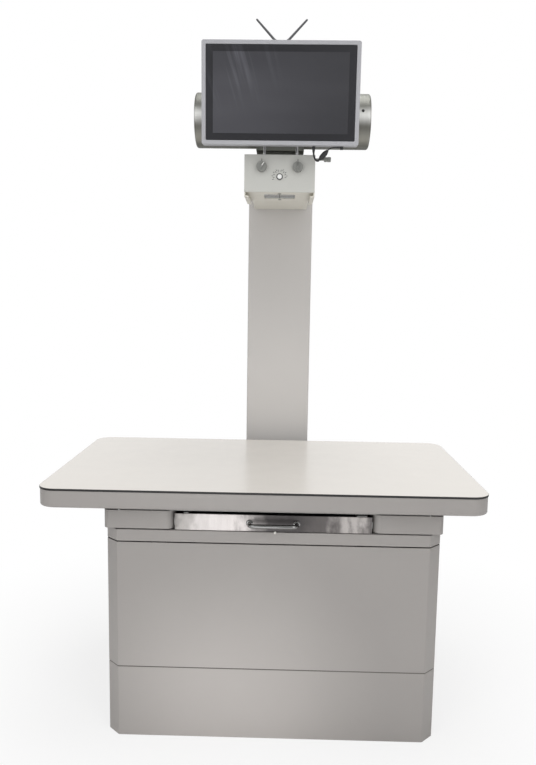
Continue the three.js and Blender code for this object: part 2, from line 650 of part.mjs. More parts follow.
function addColumn() {
  const half = COLUMN_WIDTH / 2;
  const rearY = COLUMN_FRONT_Y + COLUMN_DEPTH;
  const radii = [COLUMN_RADIUS, COLUMN_RADIUS, COLUMN_RADIUS, COLUMN_RADIUS];
  const topZ = PAN_TOP + COLUMN_HEIGHT;
  const wall = rectangleWall(-half, half, COLUMN_FRONT_Y, rearY, radii, COLUMN_WALL);
  // A welded box bracket ties the column to the back of the cabinet.
  const bracketTop = LEDGE_Z - BRACKET_DROP;
  const bracket = centred(BRACKET_WIDTH, REAR_Y + FIT, COLUMN_FRONT_Y + COLUMN_WALL / 2,
    bracketTop - BRACKET_HEIGHT, bracketTop);
  part('column', join(prism(wall, PAN_TOP, topZ), bracket), COLUMN_PAINT);

  const lidOutline = roundedRectangle(-half, half, COLUMN_FRONT_Y, rearY, radii);
  const lid = prism(lidOutline, topZ, topZ + CAP_THICKNESS);
  const grip = COLUMN_WALL + FIT;
  const spigot = centred(2 * (half - grip - COLUMN_RADIUS), COLUMN_FRONT_Y + grip, rearY - grip,
    topZ - CAP_SPIGOT, topZ + OVERRUN);
  part('column_cap', join(lid, spigot), GREY_PLASTIC);

  const armRear = COLUMN_FRONT_Y - FIT;
  const armSide = [
    [ARM_FRONT_Y, ARM_TOP_Z - ARM_FRONT_HEIGHT],
    [armRear, ARM_TOP_Z - ARM_REAR_HEIGHT],
    [armRear, ARM_TOP_Z],
    [ARM_FRONT_Y, ARM_TOP_Z],
  ];
  const arm = prism(polygon(armSide), -ARM_WIDTH / 2, ARM_WIDTH / 2);
  part('support_arm', arm.rotateX(Math.PI / 2).rotateZ(Math.PI / 2), PALE_PAINT);
}

function addTubeHead() {
  const cradleTop = ARM_TOP_Z + CRADLE_THICKNESS;
  const cradleRear = BEAM_Y + CRADLE_REAR_REACH;
  const plate = centred(CRADLE_WIDTH, CRADLE_FRONT_Y, cradleRear, ARM_TOP_Z, cradleTop);
  const neckHalf = NECK_DEPTH / 2;
  const neck = centred(NECK_WIDTH, BEAM_Y - neckHalf, BEAM_Y + neckHalf, NECK_Z, ARM_TOP_Z + OVERRUN);
  const saddles = SIDES.map(([, side]) => {
    const x = (side * SADDLE_SPACING) / 2;
    return slab(x - SADDLE_THICKNESS / 2, x + SADDLE_THICKNESS / 2, BEAM_Y - SADDLE_HALF_DEPTH,
      BEAM_Y + SADDLE_HALF_DEPTH, cradleTop - OVERRUN, cradleTop + SADDLE_RISE);
  });
  const seat = rod(TUBE_RADIUS + FIT, -CRADLE_WIDTH, CRADLE_WIDTH, 'x', TUBE_SIDES);
  seat.translate(0, BEAM_Y, TUBE_Z);
  const port = PORT_WIDTH / 2;
  const beam = centred(PORT_WIDTH, BEAM_Y - port, BEAM_Y + port, NECK_Z - OVERRUN, cradleTop + OVERRUN);
  part('tube_cradle', cut(join(plate, neck, ...saddles), seat, beam), DARK_STEEL);

  const bodyHalf = TUBE_BODY_LENGTH / 2;
  const bore = TUBE_RADIUS - TUBE_WALL;
  const shell = [
    [bore, -bodyHalf],
    [TUBE_RADIUS, -bodyHalf],
    [TUBE_RADIUS, bodyHalf],
    [bore, bodyHalf],
    [bore, -bodyHalf],
  ];
  part('tube_housing', turned(shell, 'x', TUBE_SIDES).translate(TUBE_SHIFT_X, BEAM_Y, TUBE_Z), STAINLESS);

  // Each end cap is a dished cup with a rounded rim.
  const rim = [];
  for (let i = 0; i <= RIM_STEPS; i += 1) {
    const angle = (Math.PI / 2) * (i / RIM_STEPS);
    const radius = TUBE_RADIUS - TUBE_CAP_ROUND * (1 - Math.cos(angle));
    rim.push([radius, TUBE_CAP_LENGTH - TUBE_CAP_ROUND * (1 - Math.sin(angle))]);
  }
  const cup = [
    [0, TUBE_CAP_LENGTH - TUBE_WALL],
    [TUBE_RADIUS - TUBE_CAP_ROUND, TUBE_CAP_LENGTH - TUBE_WALL],
    [bore, TUBE_CAP_LENGTH - TUBE_CAP_ROUND],
    [bore, 0],
    [TUBE_RADIUS, 0],
    ...rim,
    [0, TUBE_CAP_LENGTH],
  ];
  for (const [name, side] of SIDES) {
    const cap = turned(cup, 'x', TUBE_SIDES);
    if (side < 0) cap.rotateZ(Math.PI);
    const capX = TUBE_SHIFT_X + side * (bodyHalf + FIT);
    part(`tube_end_cap_${name}`, cap.translate(capX, BEAM_Y, TUBE_Z), STAINLESS);
  }

  const end = INSERT_LENGTH / 2;
  const disc = bore - FIT;
  const taper = INSERT_RADIUS;
  const insert = [
    [0, -end],
    [disc, -end],
    [disc, -end + INSERT_DISC],
    [INSERT_NECK_RADIUS, -end + INSERT_DISC],
    [INSERT_NECK_RADIUS, -end + 2 * taper],
    [INSERT_RADIUS, -end + 3 * taper],
    [INSERT_RADIUS, end - 3 * taper],
    [INSERT_NECK_RADIUS, end - 2 * taper],
    [INSERT_NECK_RADIUS, end - INSERT_DISC],
    [disc, end - INSERT_DISC],
    [disc, end],
    [0, end],
  ];
  const glass = turned(insert, 'x', TUBE_SIDES);
  part('xray_tube_insert', glass.translate(TUBE_SHIFT_X, BEAM_Y, TUBE_Z), CLEAR_GLASS);
}

function addCollimator() {
  const wall = COLLIMATOR_WALL;
  const shellFront = FACE_BACK_Y + FIT;
  const floor = COLLIMATOR_Z + wall;
  const outer = centred(COLLIMATOR_WIDTH, shellFront, COLLIMATOR_REAR_Y, COLLIMATOR_Z, COLLIMATOR_TOP);
  const hollow = centred(COLLIMATOR_WIDTH - 2 * wall, shellFront - OVERRUN, COLLIMATOR_REAR_Y - wall, floor,
    COLLIMATOR_TOP - wall);
  const port = PORT_WIDTH / 2;
  const entry = centred(PORT_WIDTH, BEAM_Y - port, BEAM_Y + port, COLLIMATOR_TOP - 2 * wall,
    COLLIMATOR_TOP + OVERRUN);
  const exitHalf = WINDOW_WIDTH / 2 + FIT;
  const exit = centred(2 * exitHalf, BEAM_Y - exitHalf, BEAM_Y + exitHalf, COLLIMATOR_Z - OVERRUN,
    floor + OVERRUN);
  const lockY = FACE_Y + LOCK_KNOB_SETBACK;
  const lockZ = COLLIMATOR_TOP - LOCK_KNOB_DROP;
  const holeStart = COLLIMATOR_HALF - 2 * wall;
  const lockHole = rod(LOCK_SHAFT_RADIUS + FIT, holeStart, COLLIMATOR_HALF + OVERRUN, 'x', SMALL_SIDES);
  lockHole.translate(0, lockY, lockZ);
  part('collimator_shell', cut(outer, hollow, entry, exit, lockHole), PALE_PAINT);

  const knobZ = COLLIMATOR_TOP - KNOB_DROP;
  const buttonZ = COLLIMATOR_TOP - BUTTON_DROP;
  const through = (radius, x, z) => {
    const bore = rod(radius + FIT, FACE_Y - OVERRUN, FACE_BACK_Y + OVERRUN, 'y');
    return bore.translate(x, 0, z);
  };
  const plate = centred(COLLIMATOR_WIDTH, FACE_Y, FACE_BACK_Y, COLLIMATOR_Z, COLLIMATOR_TOP);
  const holes = SIDES.map(([, side]) => through(KNOB_SHAFT_RADIUS, (side * KNOB_SPACING) / 2, knobZ));
  part('collimator_face', cut(plate, ...holes, through(BUTTON_RADIUS, 0, buttonZ)), PALE_PAINT);

  const pane = WINDOW_WIDTH / 2;
  const lip = pane + WINDOW_LIP;
  const lipZ = floor + FIT;
  const lipTop = lipZ + WINDOW_LIP_THICKNESS;
  const plug = centred(WINDOW_WIDTH, BEAM_Y - pane, BEAM_Y + pane, COLLIMATOR_Z + WINDOW_SET, lipTop);
  const rim = centred(2 * lip, BEAM_Y - lip, BEAM_Y + lip, lipZ, lipTop);
  part('exit_window', join(plug, rim), CLEAR_GLASS);

  // Two crossed pairs of lead leaves lie one above the other over the window.
  const gap = LEAF_APERTURE / 2;
  const span = LEAF_SPAN / 2;
  const lowZ = lipTop + FIT;
  const highZ = lowZ + LEAF_THICKNESS + FIT;
  for (const [name, side] of [['front', -1], ['rear', 1]]) {
    const [y0, y1] = sided(side, gap, gap + LEAF_REACH);
    const leaf = centred(LEAF_SPAN, BEAM_Y + y0, BEAM_Y + y1, lowZ, lowZ + LEAF_THICKNESS);
    part(`shutter_leaf_${name}`, leaf, LEAD_GREY);
  }
  for (const [name, side] of SIDES) {
    const [x0, x1] = sided(side, gap, gap + LEAF_REACH);
    const leaf = slab(x0, x1, BEAM_Y - span, BEAM_Y + span, highZ, highZ + LEAF_THICKNESS);
    part(`shutter_leaf_${name}`, leaf, LEAD_GREY);
  }

  const mirrorWidth = COLLIMATOR_WIDTH - 2 * wall - 2 * FIT;
  const mirror = centred(mirrorWidth, -MIRROR_LENGTH / 2, MIRROR_LENGTH / 2, 0, MIRROR_THICKNESS);
  const mirrorZ = (highZ + COLLIMATOR_TOP) / 2;
  part('field_mirror', mirror.rotateX(MIRROR_TILT).translate(0, BEAM_Y, mirrorZ), CHROME);

  const lampEnd = COLLIMATOR_REAR_Y - wall - FIT;
  const lamp = rod(LAMP_RADIUS, lampEnd - LAMP_LENGTH, lampEnd, 'y', SMALL_SIDES);
  part('field_lamp', lamp.translate(0, 0, mirrorZ), WHITE_PLASTIC);

  for (const [name, side] of SIDES) {
    const outerX = COLLIMATOR_HALF;
    const top = COLLIMATOR_Z;
    const low = top - ACCESSORY_RAIL_DROP;
    const y0 = BEAM_Y - ACCESSORY_RAIL_LENGTH / 2;
    const y1 = BEAM_Y + ACCESSORY_RAIL_LENGTH / 2;
    const [a0, a1] = sided(side, outerX - ACCESSORY_RAIL_WALL, outerX);
    const [b0, b1] = sided(side, outerX - ACCESSORY_RAIL_WIDTH, outerX);
    const web = slab(a0, a1, y0, y1, low, top);
    const foot = slab(b0, b1, y0, y1, low, low + ACCESSORY_RAIL_WALL);
    part(`accessory_rail_${name}`, join(web, foot), PALE_PAINT);
  }

  // Aperture knobs: a dished disc with a raised grip bar on a short shaft.
  const knobBack = FACE_Y - FIT;
  const knobFront = knobBack - KNOB_DEPTH;
  const knobProfile = [
    [0, knobFront],
    [KNOB_RADIUS - KNOB_EDGE, knobFront],
    [KNOB_RADIUS, knobFront + KNOB_EDGE],
    [KNOB_RADIUS, knobBack],
    [KNOB_SHAFT_RADIUS, knobBack],
    [KNOB_SHAFT_RADIUS, knobBack + KNOB_SHAFT_LENGTH],
    [0, knobBack + KNOB_SHAFT_LENGTH],
  ];
  const gripHalf = KNOB_RADIUS - KNOB_EDGE;
  const gripFront = knobFront - KNOB_GRIP_DEPTH;
  const grip = centred(KNOB_GRIP_WIDTH, gripFront, knobFront + OVERRUN, -gripHalf, gripHalf);
  for (const [name, side] of SIDES) {
    const knob = join(turned(knobProfile, 'y', ROUND_SIDES), grip);
    part(`aperture_knob_${name}`, knob.translate((side * KNOB_SPACING) / 2, 0, knobZ), GREY_PLASTIC);
  }

  const flangeFront = FACE_BACK_Y + FIT;
  const buttonFront = FACE_Y - BUTTON_STANDOFF;
  const buttonProfile = [
    [0, buttonFront],
    [BUTTON_RADIUS - BUTTON_EDGE, buttonFront],
    [BUTTON_RADIUS, buttonFront + BUTTON_EDGE],
    [BUTTON_RADIUS, flangeFront],
    [BUTTON_FLANGE_RADIUS, flangeFront],
    [BUTTON_FLANGE_RADIUS, flangeFront + BUTTON_FLANGE],
    [0, flangeFront + BUTTON_FLANGE],
  ];
  part('lamp_button', turned(buttonProfile, 'y', ROUND_SIDES).translate(0, 0, buttonZ), WHITE_PLASTIC);

  const shaftEnd = COLLIMATOR_HALF + LOCK_SHAFT_LENGTH;
  const lockProfile = [
    [0, COLLIMATOR_HALF - LOCK_SHAFT_INNER],
    [LOCK_SHAFT_RADIUS, COLLIMATOR_HALF - LOCK_SHAFT_INNER],
    [LOCK_SHAFT_RADIUS, shaftEnd],
    [LOCK_KNOB_RADIUS, shaftEnd],
    [LOCK_KNOB_RADIUS, shaftEnd + LOCK_KNOB_LENGTH],
    [0, shaftEnd + LOCK_KNOB_LENGTH],
  ];
  part('lock_knob', turned(lockProfile, 'x', ROUND_SIDES).translate(0, lockY, lockZ), GREY_PLASTIC);
}

function addMonitorBracket() {
  const half = LUG_SPACING / 2;
  const plateRear = CRADLE_FRONT_Y - FIT;
  const plateFront = plateRear - BRACKET_PLATE;
  const plateTop = MONITOR_CENTRE_Z + MONITOR_BRACKET_RISE;
  const toeZ = ARM_TOP_Z + CRADLE_THICKNESS + FIT;
  const plate = centred(MONITOR_BRACKET_WIDTH, plateFront, plateRear, ARM_TOP_Z, plateTop);
  const toeRear = plateRear + BRACKET_TOE;
  const toe = centred(MONITOR_BRACKET_WIDTH, plateFront, toeRear, toeZ, toeZ + BRACKET_TOE_THICKNESS);
  const lugs = [];
  const bores = [];
  for (const [, side] of SIDES) {
    const [x0, x1] = sided(side, half, half + LUG_THICKNESS);
    const low = MONITOR_CENTRE_Z - LUG_RADIUS;
    const bore = rod(PIN_RADIUS + FIT, x0 - OVERRUN, x1 + OVERRUN, 'x');
    lugs.push(slab(x0, x1, HINGE_Y, plateFront + OVERRUN, low, low + 2 * LUG_RADIUS));
    lugs.push(rod(LUG_RADIUS, x0, x1, 'x').translate(0, HINGE_Y, MONITOR_CENTRE_Z));
    bores.push(bore.translate(0, HINGE_Y, MONITOR_CENTRE_Z));
  }
  part('monitor_bracket', cut(join(plate, toe, ...lugs), ...bores), DARK_STEEL);
  const reach = half + LUG_THICKNESS + PIN_OVERHANG;
  part('tilt_pin', rod(PIN_RADIUS, -reach, reach, 'x').translate(0, HINGE_Y, MONITOR_CENTRE_Z), CHROME);
}

// The monitor is drawn upright about its hinge and then leaned forward.
function addMonitor() {
  const monitor = new THREE.Group();
  monitor.position.set(0, HINGE_Y, MONITOR_CENTRE_Z);
  monitor.rotation.x = MONITOR_TILT;
  table.add(monitor);

  const halfX = MONITOR_WIDTH / 2;
  const halfZ = MONITOR_HEIGHT / 2;
  const face = -HINGE_TO_FACE;
  const bezelBack = face + BEZEL_DEPTH;
  const backFront = bezelBack + FIT;
  const backRear = backFront + BACK_DEPTH;
  // A rounded plate standing in the XZ plane between two depths.
  const upright = (width, height, radius, y0, y1) => {
    const radii = [radius, radius, radius, radius];
    const outline = roundedRectangle(-width / 2, width / 2, -height / 2, height / 2, radii);
    return prism(outline, -y1, -y0).rotateX(Math.PI / 2);
  };
  const openX = MONITOR_WIDTH - 2 * BEZEL_SIDE;
  const openZ = MONITOR_HEIGHT - 2 * BEZEL_SIDE;
  const glassFront = face + GLASS_SINK;
  const glassBack = glassFront + GLASS_THICKNESS;
  const frame = upright(MONITOR_WIDTH, MONITOR_HEIGHT, MONITOR_RADIUS, face, bezelBack);
  const rebate = upright(openX, openZ, 0, face - OVERRUN, glassBack + FIT);
  const light = upright(openX - 2 * BEZEL_LIP, openZ - 2 * BEZEL_LIP, 0, face - OVERRUN,
    bezelBack + OVERRUN);
  part('monitor_bezel', cut(frame, rebate, light), SILVER_FRAME, monitor);
  const glass = upright(openX - 2 * FIT, openZ - 2 * FIT, 0, glassFront, glassBack);
  part('screen_glass', glass, DARK_GLASS, monitor);

  const body = upright(MONITOR_WIDTH, MONITOR_HEIGHT, MONITOR_RADIUS, backFront, backRear);
  const extras = [];
  const bores = [];
  const lugOuter = LUG_SPACING / 2 - FIT;
  for (const [, side] of SIDES) {
    const [x0, x1] = sided(side, lugOuter - LUG_THICKNESS, lugOuter);
    extras.push(slab(x0, x1, backRear - OVERRUN, 0, -LUG_RADIUS, LUG_RADIUS));
    extras.push(rod(LUG_RADIUS, x0, x1, 'x'));
    bores.push(rod(PIN_RADIUS + FIT, x0 - OVERRUN, x1 + OVERRUN, 'x'));
  }
  const pivotZ = halfZ - ANTENNA_PIVOT_DROP;
  const bossEnd = backRear + ANTENNA_BOSS_LENGTH;
  for (const [, side] of SIDES) {
    const boss = rod(ANTENNA_KNUCKLE_RADIUS, backRear - OVERRUN, bossEnd, 'y', SMALL_SIDES);
    extras.push(boss.translate((side * ANTENNA_SPACING) / 2, 0, pivotZ));
  }
  const leadY = (LEAD_Y - HINGE_Y - Math.sin(MONITOR_TILT) * halfZ) / Math.cos(MONITOR_TILT);
  const glandProfile = [
    [0, -GLAND_LENGTH],
    [GLAND_TIP_RADIUS, -GLAND_LENGTH],
    [GLAND_RADIUS, 0],
    [0, 0],
  ];
  const underside = -halfZ - FIT;
  const gland = turned(glandProfile, 'z', SMALL_SIDES);
  part('lead_gland', gland.translate(GLAND_X, leadY, underside), BLACK_RUBBER, monitor);
  const socket = new THREE.BoxGeometry(SOCKET_SIZE, SOCKET_SIZE, SOCKET_SIZE);
  part('lead_socket', socket.translate(SOCKET_X, leadY, underside - SOCKET_SIZE / 2), BLACK_RUBBER, monitor);
  part('monitor_back', cut(join(body, ...extras), ...bores), SILVER_FRAME, monitor);

  for (const [name, side] of SIDES) {
    const near = bossEnd + FIT;
    const far = near + ANTENNA_KNUCKLE_LENGTH;
    const knuckle = rod(ANTENNA_KNUCKLE_RADIUS, near, far, 'y', SMALL_SIDES);
    const whip = rod(ANTENNA_RADIUS, 0, ANTENNA_LENGTH, 'z', THIN_SIDES);
    whip.translate(0, (near + far) / 2, 0).rotateY(side * ANTENNA_SPREAD);
    const antenna = join(knuckle, whip).translate((side * ANTENNA_SPACING) / 2, 0, pivotZ);
    part(`antenna_${name}`, antenna, BLACK_RUBBER, monitor);
  }
}

function addLead() {
  const at = ([x, z]) => new THREE.Vector3(x, LEAD_Y, MONITOR_CENTRE_Z + z);
  const route = (points) => new THREE.CatmullRomCurve3(points.map(at));
  const lead = (points, radius) => tube(route(points), radius, LEAD_STEPS, LEAD_SIDES);
  part('monitor_lead', lead(LEAD_POINTS, LEAD_RADIUS), BLACK_RUBBER);
  part('monitor_lead_thin', lead(THIN_LEAD_POINTS, THIN_LEAD_RADIUS), BLACK_RUBBER);
  const bead = [
    [0, 0],
    [BEAD_END_RADIUS, 0],
    [BEAD_RADIUS, BEAD_TAPER],
    [BEAD_RADIUS, BEAD_LENGTH - BEAD_TAPER],
    [BEAD_END_RADIUS, BEAD_LENGTH],
    [0, BEAD_LENGTH],
  ];
  const suppressor = turned(bead, 'x', SMALL_SIDES).rotateY(-BEAD_SLOPE);
  const [beadX, beadZ] = BEAD_START;
  part('suppressor_bead', suppressor.translate(beadX, LEAD_Y, MONITOR_CENTRE_Z + beadZ), BLACK_RUBBER);
}

addCabinet();
addCrossRails();
addCarriage();
addTabletop();
addDrawer();
addColumn();
addTubeHead();
addCollimator();
addMonitorBracket();
addMonitor();
addLead();

export default table;
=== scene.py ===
import json
import math

import bmesh
import bpy
from mathutils import Matrix, Vector


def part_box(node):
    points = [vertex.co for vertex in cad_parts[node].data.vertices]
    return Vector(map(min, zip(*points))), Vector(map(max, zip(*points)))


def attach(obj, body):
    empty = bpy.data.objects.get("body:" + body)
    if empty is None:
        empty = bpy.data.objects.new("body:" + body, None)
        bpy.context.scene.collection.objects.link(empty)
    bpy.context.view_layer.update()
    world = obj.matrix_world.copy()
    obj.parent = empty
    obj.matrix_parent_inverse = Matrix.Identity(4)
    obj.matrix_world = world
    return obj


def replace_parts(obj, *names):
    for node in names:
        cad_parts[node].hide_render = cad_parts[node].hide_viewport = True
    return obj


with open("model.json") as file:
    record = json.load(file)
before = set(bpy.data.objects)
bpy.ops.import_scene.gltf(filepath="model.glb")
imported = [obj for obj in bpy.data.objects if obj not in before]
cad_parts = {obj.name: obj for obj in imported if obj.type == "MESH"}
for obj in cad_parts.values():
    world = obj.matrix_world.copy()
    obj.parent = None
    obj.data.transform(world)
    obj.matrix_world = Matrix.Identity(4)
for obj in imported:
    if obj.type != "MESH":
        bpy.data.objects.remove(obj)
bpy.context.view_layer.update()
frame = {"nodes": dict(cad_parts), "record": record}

# Photograph frame in pixels, and the camera in metres and radians
IMAGE_WIDTH = 536
IMAGE_HEIGHT = 765
FOCAL_PIXELS = 732.9
PRINCIPAL_POINT = (268.9, 386.9)
SENSOR_WIDTH = 36
CAMERA_PLACE = Vector((0.0223, -2.2661, 1.2397))
CAMERA_YAW = 0.0205
CAMERA_PITCH = 0.1272
CAMERA_ROLL = 0.0152
CAMERA_REACH = 60

# Studio light: the room's strength for soft and for mirrored light, and the floor's fade to white
WORLD_LIGHT = 0.5
ROOM_LIGHT = 0.4
ROOM_NEAR = -0.3
ROOM_FAR = 0.5
FLOOR_SIZE = 20
FLOOR_GREY = (0.95, 0.95, 0.95, 1)
FLOOR_WHITE = 0.75
FLOOR_FADE_START = 0.5
FLOOR_FADE_END = 1.5
# Each lamp has a name, a place, an aim, a width and height, and a power.
LAMPS = [
    ("soft_left", (-1.85, -3.2, 2.6), (0, 0, 0.9), (2.2, 4.8), 36),
    ("soft_right", (1.85, -3.2, 2.6), (0, 0, 0.9), (2.2, 4.8), 43),
    ("soft_low", (-0.3, -2.6, 0.25), (-0.05, -0.35, 0.35), (0.8, 0.8), 3.5),
    ("soft_top", (0.3, 0.2, 4.2), (0, 0, 0.7), (2.4, 2.4), 45),
]

# Places, gaps and edges shared by several pieces, in metres
BEAM_Y = -0.055
PLAY = 0.0003
GAP = 0.0002
SINK = 0.0002
SKIN = 0.0001
SHEET_EDGE = 0.0008
FINE_EDGE = 0.0006

# Monitor and its lead, in metres and radians
MONITOR_TILT = 0.048
HINGE = Vector((0, -0.172, 1.772))
LEAD_Y = -0.204
LEAD_DIAMETER = 0.005
THIN_LEAD_DIAMETER = 0.003
# Each point is an x and a height from the middle of the monitor.
LEAD_POINTS = [
    (0.0921, -0.1512),
    (0.0924, -0.1564),
    (0.0938, -0.1620),
    (0.0966, -0.1682),
    (0.1012, -0.1724),
    (0.1046, -0.1727),
    (0.1069, -0.1712),
]
THIN_LEAD_POINTS = [
    (0.1307, -0.1447),
    (0.1354, -0.1406),
    (0.1420, -0.1377),
    (0.1500, -0.1366),
    (0.1580, -0.1368),
    (0.1636, -0.1369),
]
BEAD_START = (0.1075, -0.1705)
BEAD_LENGTH = 0.034


def linked(name, data):
    """A new object in the scene."""
    thing = bpy.data.objects.new(name, data)
    bpy.context.scene.collection.objects.link(thing)
    return thing


def add_camera():
    """The pinhole camera that was fitted to the photograph."""
    yaw, pitch, roll = CAMERA_YAW, CAMERA_PITCH, CAMERA_ROLL
    ahead = math.cos(pitch)
    forward = Vector((-math.sin(yaw) * ahead, math.cos(yaw) * ahead, -math.sin(pitch)))
    level = Vector((math.cos(yaw), math.sin(yaw), 0))
    up = level.cross(forward)
    right = level * math.cos(roll) + up * math.sin(roll)
    top = up * math.cos(roll) - level * math.sin(roll)
    data = bpy.data.cameras.new("photo_camera")
    camera = linked("photo_camera", data)
    rotation = Matrix((right, top, -forward)).transposed()
    camera.matrix_world = Matrix.Translation(CAMERA_PLACE) @ rotation.to_4x4()
    data.sensor_fit = "AUTO"
    data.sensor_width = SENSOR_WIDTH
    data.lens = FOCAL_PIXELS / IMAGE_HEIGHT * SENSOR_WIDTH
    data.shift_x = (IMAGE_WIDTH / 2 - PRINCIPAL_POINT[0]) / IMAGE_HEIGHT
    data.shift_y = (PRINCIPAL_POINT[1] - IMAGE_HEIGHT / 2) / IMAGE_HEIGHT
    data.clip_end = CAMERA_REACH
    bpy.context.scene.camera = camera


# Node materials

def srgb(red, green, blue):
    """A linear colour from its display values of 0 to 255."""
    def linear(value):
        value /= 255
        return value / 12.92 if value <= 0.04045 else ((value + 0.055) / 1.055) ** 2.4

    return (linear(red), linear(green), linear(blue), 1)


def tinted(colour, factor):
    return (colour[0] * factor, colour[1] * factor, colour[2] * factor, 1)


class Nodes:
    """The node tree of a material or a world, with short helpers."""

    def __init__(self, owner):
        owner.use_nodes = True
        self.tree = owner.node_tree

    def named(self, name):
        return self.tree.nodes[name]

    def add(self, kind, operation=None, **inputs):
        node = self.tree.nodes.new("ShaderNode" + kind)
        if operation is not None:
            node.operation = operation
        self.fill(node, inputs)
        return node

    def fill(self, node, inputs):
        """Sets inputs by name, where an underscore stands for a space."""
        for socket, value in inputs.items():
            node.inputs[socket.replace("_", " ")].default_value = value

    def link(self, source, target):
        self.tree.links.new(source, target)


class Finish(Nodes):
    """A Principled material with short helpers for its procedural parts."""

    def __init__(self, **inputs):
        self.material = bpy.data.materials.new("finish")
        super().__init__(self.material)
        self.shader = self.named("Principled BSDF")
        self.fill(self.shader, inputs)
        self.place = self.add("TexCoord").outputs["Object"]

    def noise(self, scale, detail=3, stretch=(1, 1, 1)):
        mapping = self.add("Mapping", Scale=stretch)
        self.link(self.place, mapping.inputs["Vector"])
        texture = self.add("TexNoise", Scale=scale, Detail=detail, Roughness=0.55)
        self.link(mapping.outputs["Vector"], texture.inputs["Vector"])
        return texture.outputs["Fac"]

    def ramp(self, factor, low, high, start=0.3, end=0.7):
        node = self.add("ValToRGB")
        first, last = node.color_ramp.elements
        first.position, first.color = start, low
        last.position, last.color = end, high
        self.link(factor, node.inputs["Fac"])
        return node.outputs["Color"]

    def banded(self, factor, stops, low, high):
        """A colour ramp with several stops between two values of a factor."""
        along = self.spread(factor, 0, 1, low, high)
        bands = self.add("ValToRGB")
        ramp = bands.color_ramp
        ramp.interpolation = "EASE"
        ramp.elements[0].position, ramp.elements[0].color = stops[0]
        ramp.elements[1].position, ramp.elements[1].color = stops[-1]
        for position, colour in stops[1:-1]:
            ramp.elements.new(position).color = colour
        self.link(along, bands.inputs["Fac"])
        return bands.outputs["Color"]

    def clouded(self, colour, cloud, scale, detail=3):
        """A tone that wanders softly round a colour."""
        low, high = tinted(colour, 1 - cloud), tinted(colour, 1 + cloud)
        return self.ramp(self.noise(scale, detail), low, high)

    def spread(self, factor, low, high, start=0.3, end=0.7):
        node = self.add("MapRange", From_Min=start, From_Max=end, To_Min=low, To_Max=high)
        self.link(factor, node.inputs["Value"])
        return node.outputs["Result"]

    def lifted(self, tone, centre, reach, peak):
        """A tone that grows softly lighter towards one place, up to a fixed or a patterned peak."""
        distance = self.add("VectorMath", "DISTANCE")
        distance.inputs[1].default_value = centre
        self.link(self.place, distance.inputs[0])
        lift = self.add("MapRange", From_Max=reach, To_Max=1)
        lift.interpolation_type = "SMOOTHSTEP"
        if isinstance(peak, (int, float)):
            lift.inputs["To Min"].default_value = peak
        else:
            self.link(peak, lift.inputs["To Min"])
        self.link(distance.outputs["Value"], lift.inputs["Value"])
        scale = self.add("VectorMath", "SCALE")
        self.link(tone, scale.inputs[0])
        self.link(lift.outputs["Result"], scale.inputs["Scale"])
        return scale.outputs["Vector"]

    def colour(self, output):
        self.link(output, self.shader.inputs["Base Color"])

    def roughness(self, factor, low, high):
        self.link(self.spread(factor, low, high), self.shader.inputs["Roughness"])

    def bump(self, factor, strength, distance):
        node = self.add("Bump", Strength=strength, Distance=distance)
        self.link(factor, node.inputs["Height"])
        self.link(node.outputs["Normal"], self.shader.inputs["Normal"])


def paint(colour, gloss=0.45, cloud=0.03, flake=0.0, painted_light=None):
    """Powder coat: faint cloudy tone, fine orange peel and a slightly uneven sheen.

    Painted light is the centre, the reach and the peak of a place that is painted lighter, standing in for
    light that falls there.
    """
    finish = Finish(IOR=1.48, Metallic=flake)
    tone = finish.clouded(colour, cloud, scale=2.2, detail=2)
    # Painted light: the tone grows lighter towards one place
    if painted_light is not None:
        tone = finish.lifted(tone, *painted_light)
    finish.colour(tone)
    finish.roughness(finish.noise(scale=40), gloss - 0.05, gloss + 0.06)
    finish.bump(finish.noise(scale=900, detail=2), strength=0.12, distance=0.0002)
    return finish.material


def brushed(colour, stretch=(1, 1, 1), gloss=0.3, cloud=0.06, cloud_scale=6):
    """Brushed metal: long fine scratches along one axis over a cloudy sheen."""
    finish = Finish(Metallic=1.0)
    finish.colour(finish.clouded(colour, cloud, cloud_scale))
    grain = finish.noise(scale=260, detail=4, stretch=stretch)
    finish.roughness(grain, gloss - 0.08, gloss + 0.1)
    finish.bump(grain, strength=0.08, distance=0.0003)
    return finish.material


def plastic(colour, gloss=0.5):
    """Moulded plastic or rubber with a fine spark-eroded grain."""
    finish = Finish()
    finish.colour(finish.clouded(colour, cloud=0.06, scale=30))
    finish.roughness(finish.noise(scale=120), gloss - 0.06, gloss + 0.08)
    finish.bump(finish.noise(scale=700, detail=2), strength=0.15, distance=0.0002)
    return finish.material


def laminate(colour):
    """Soft-gloss decorative laminate with a very fine pearl texture."""
    finish = Finish(IOR=1.5)
    clouds = finish.noise(scale=1.4, detail=2)
    finish.colour(finish.ramp(clouds, tinted(colour, 0.985), tinted(colour, 1.01)))
    finish.roughness(finish.noise(scale=14), 0.2, 0.26)
    finish.bump(finish.noise(scale=1500, detail=1), strength=0.05, distance=0.0001)
    return finish.material


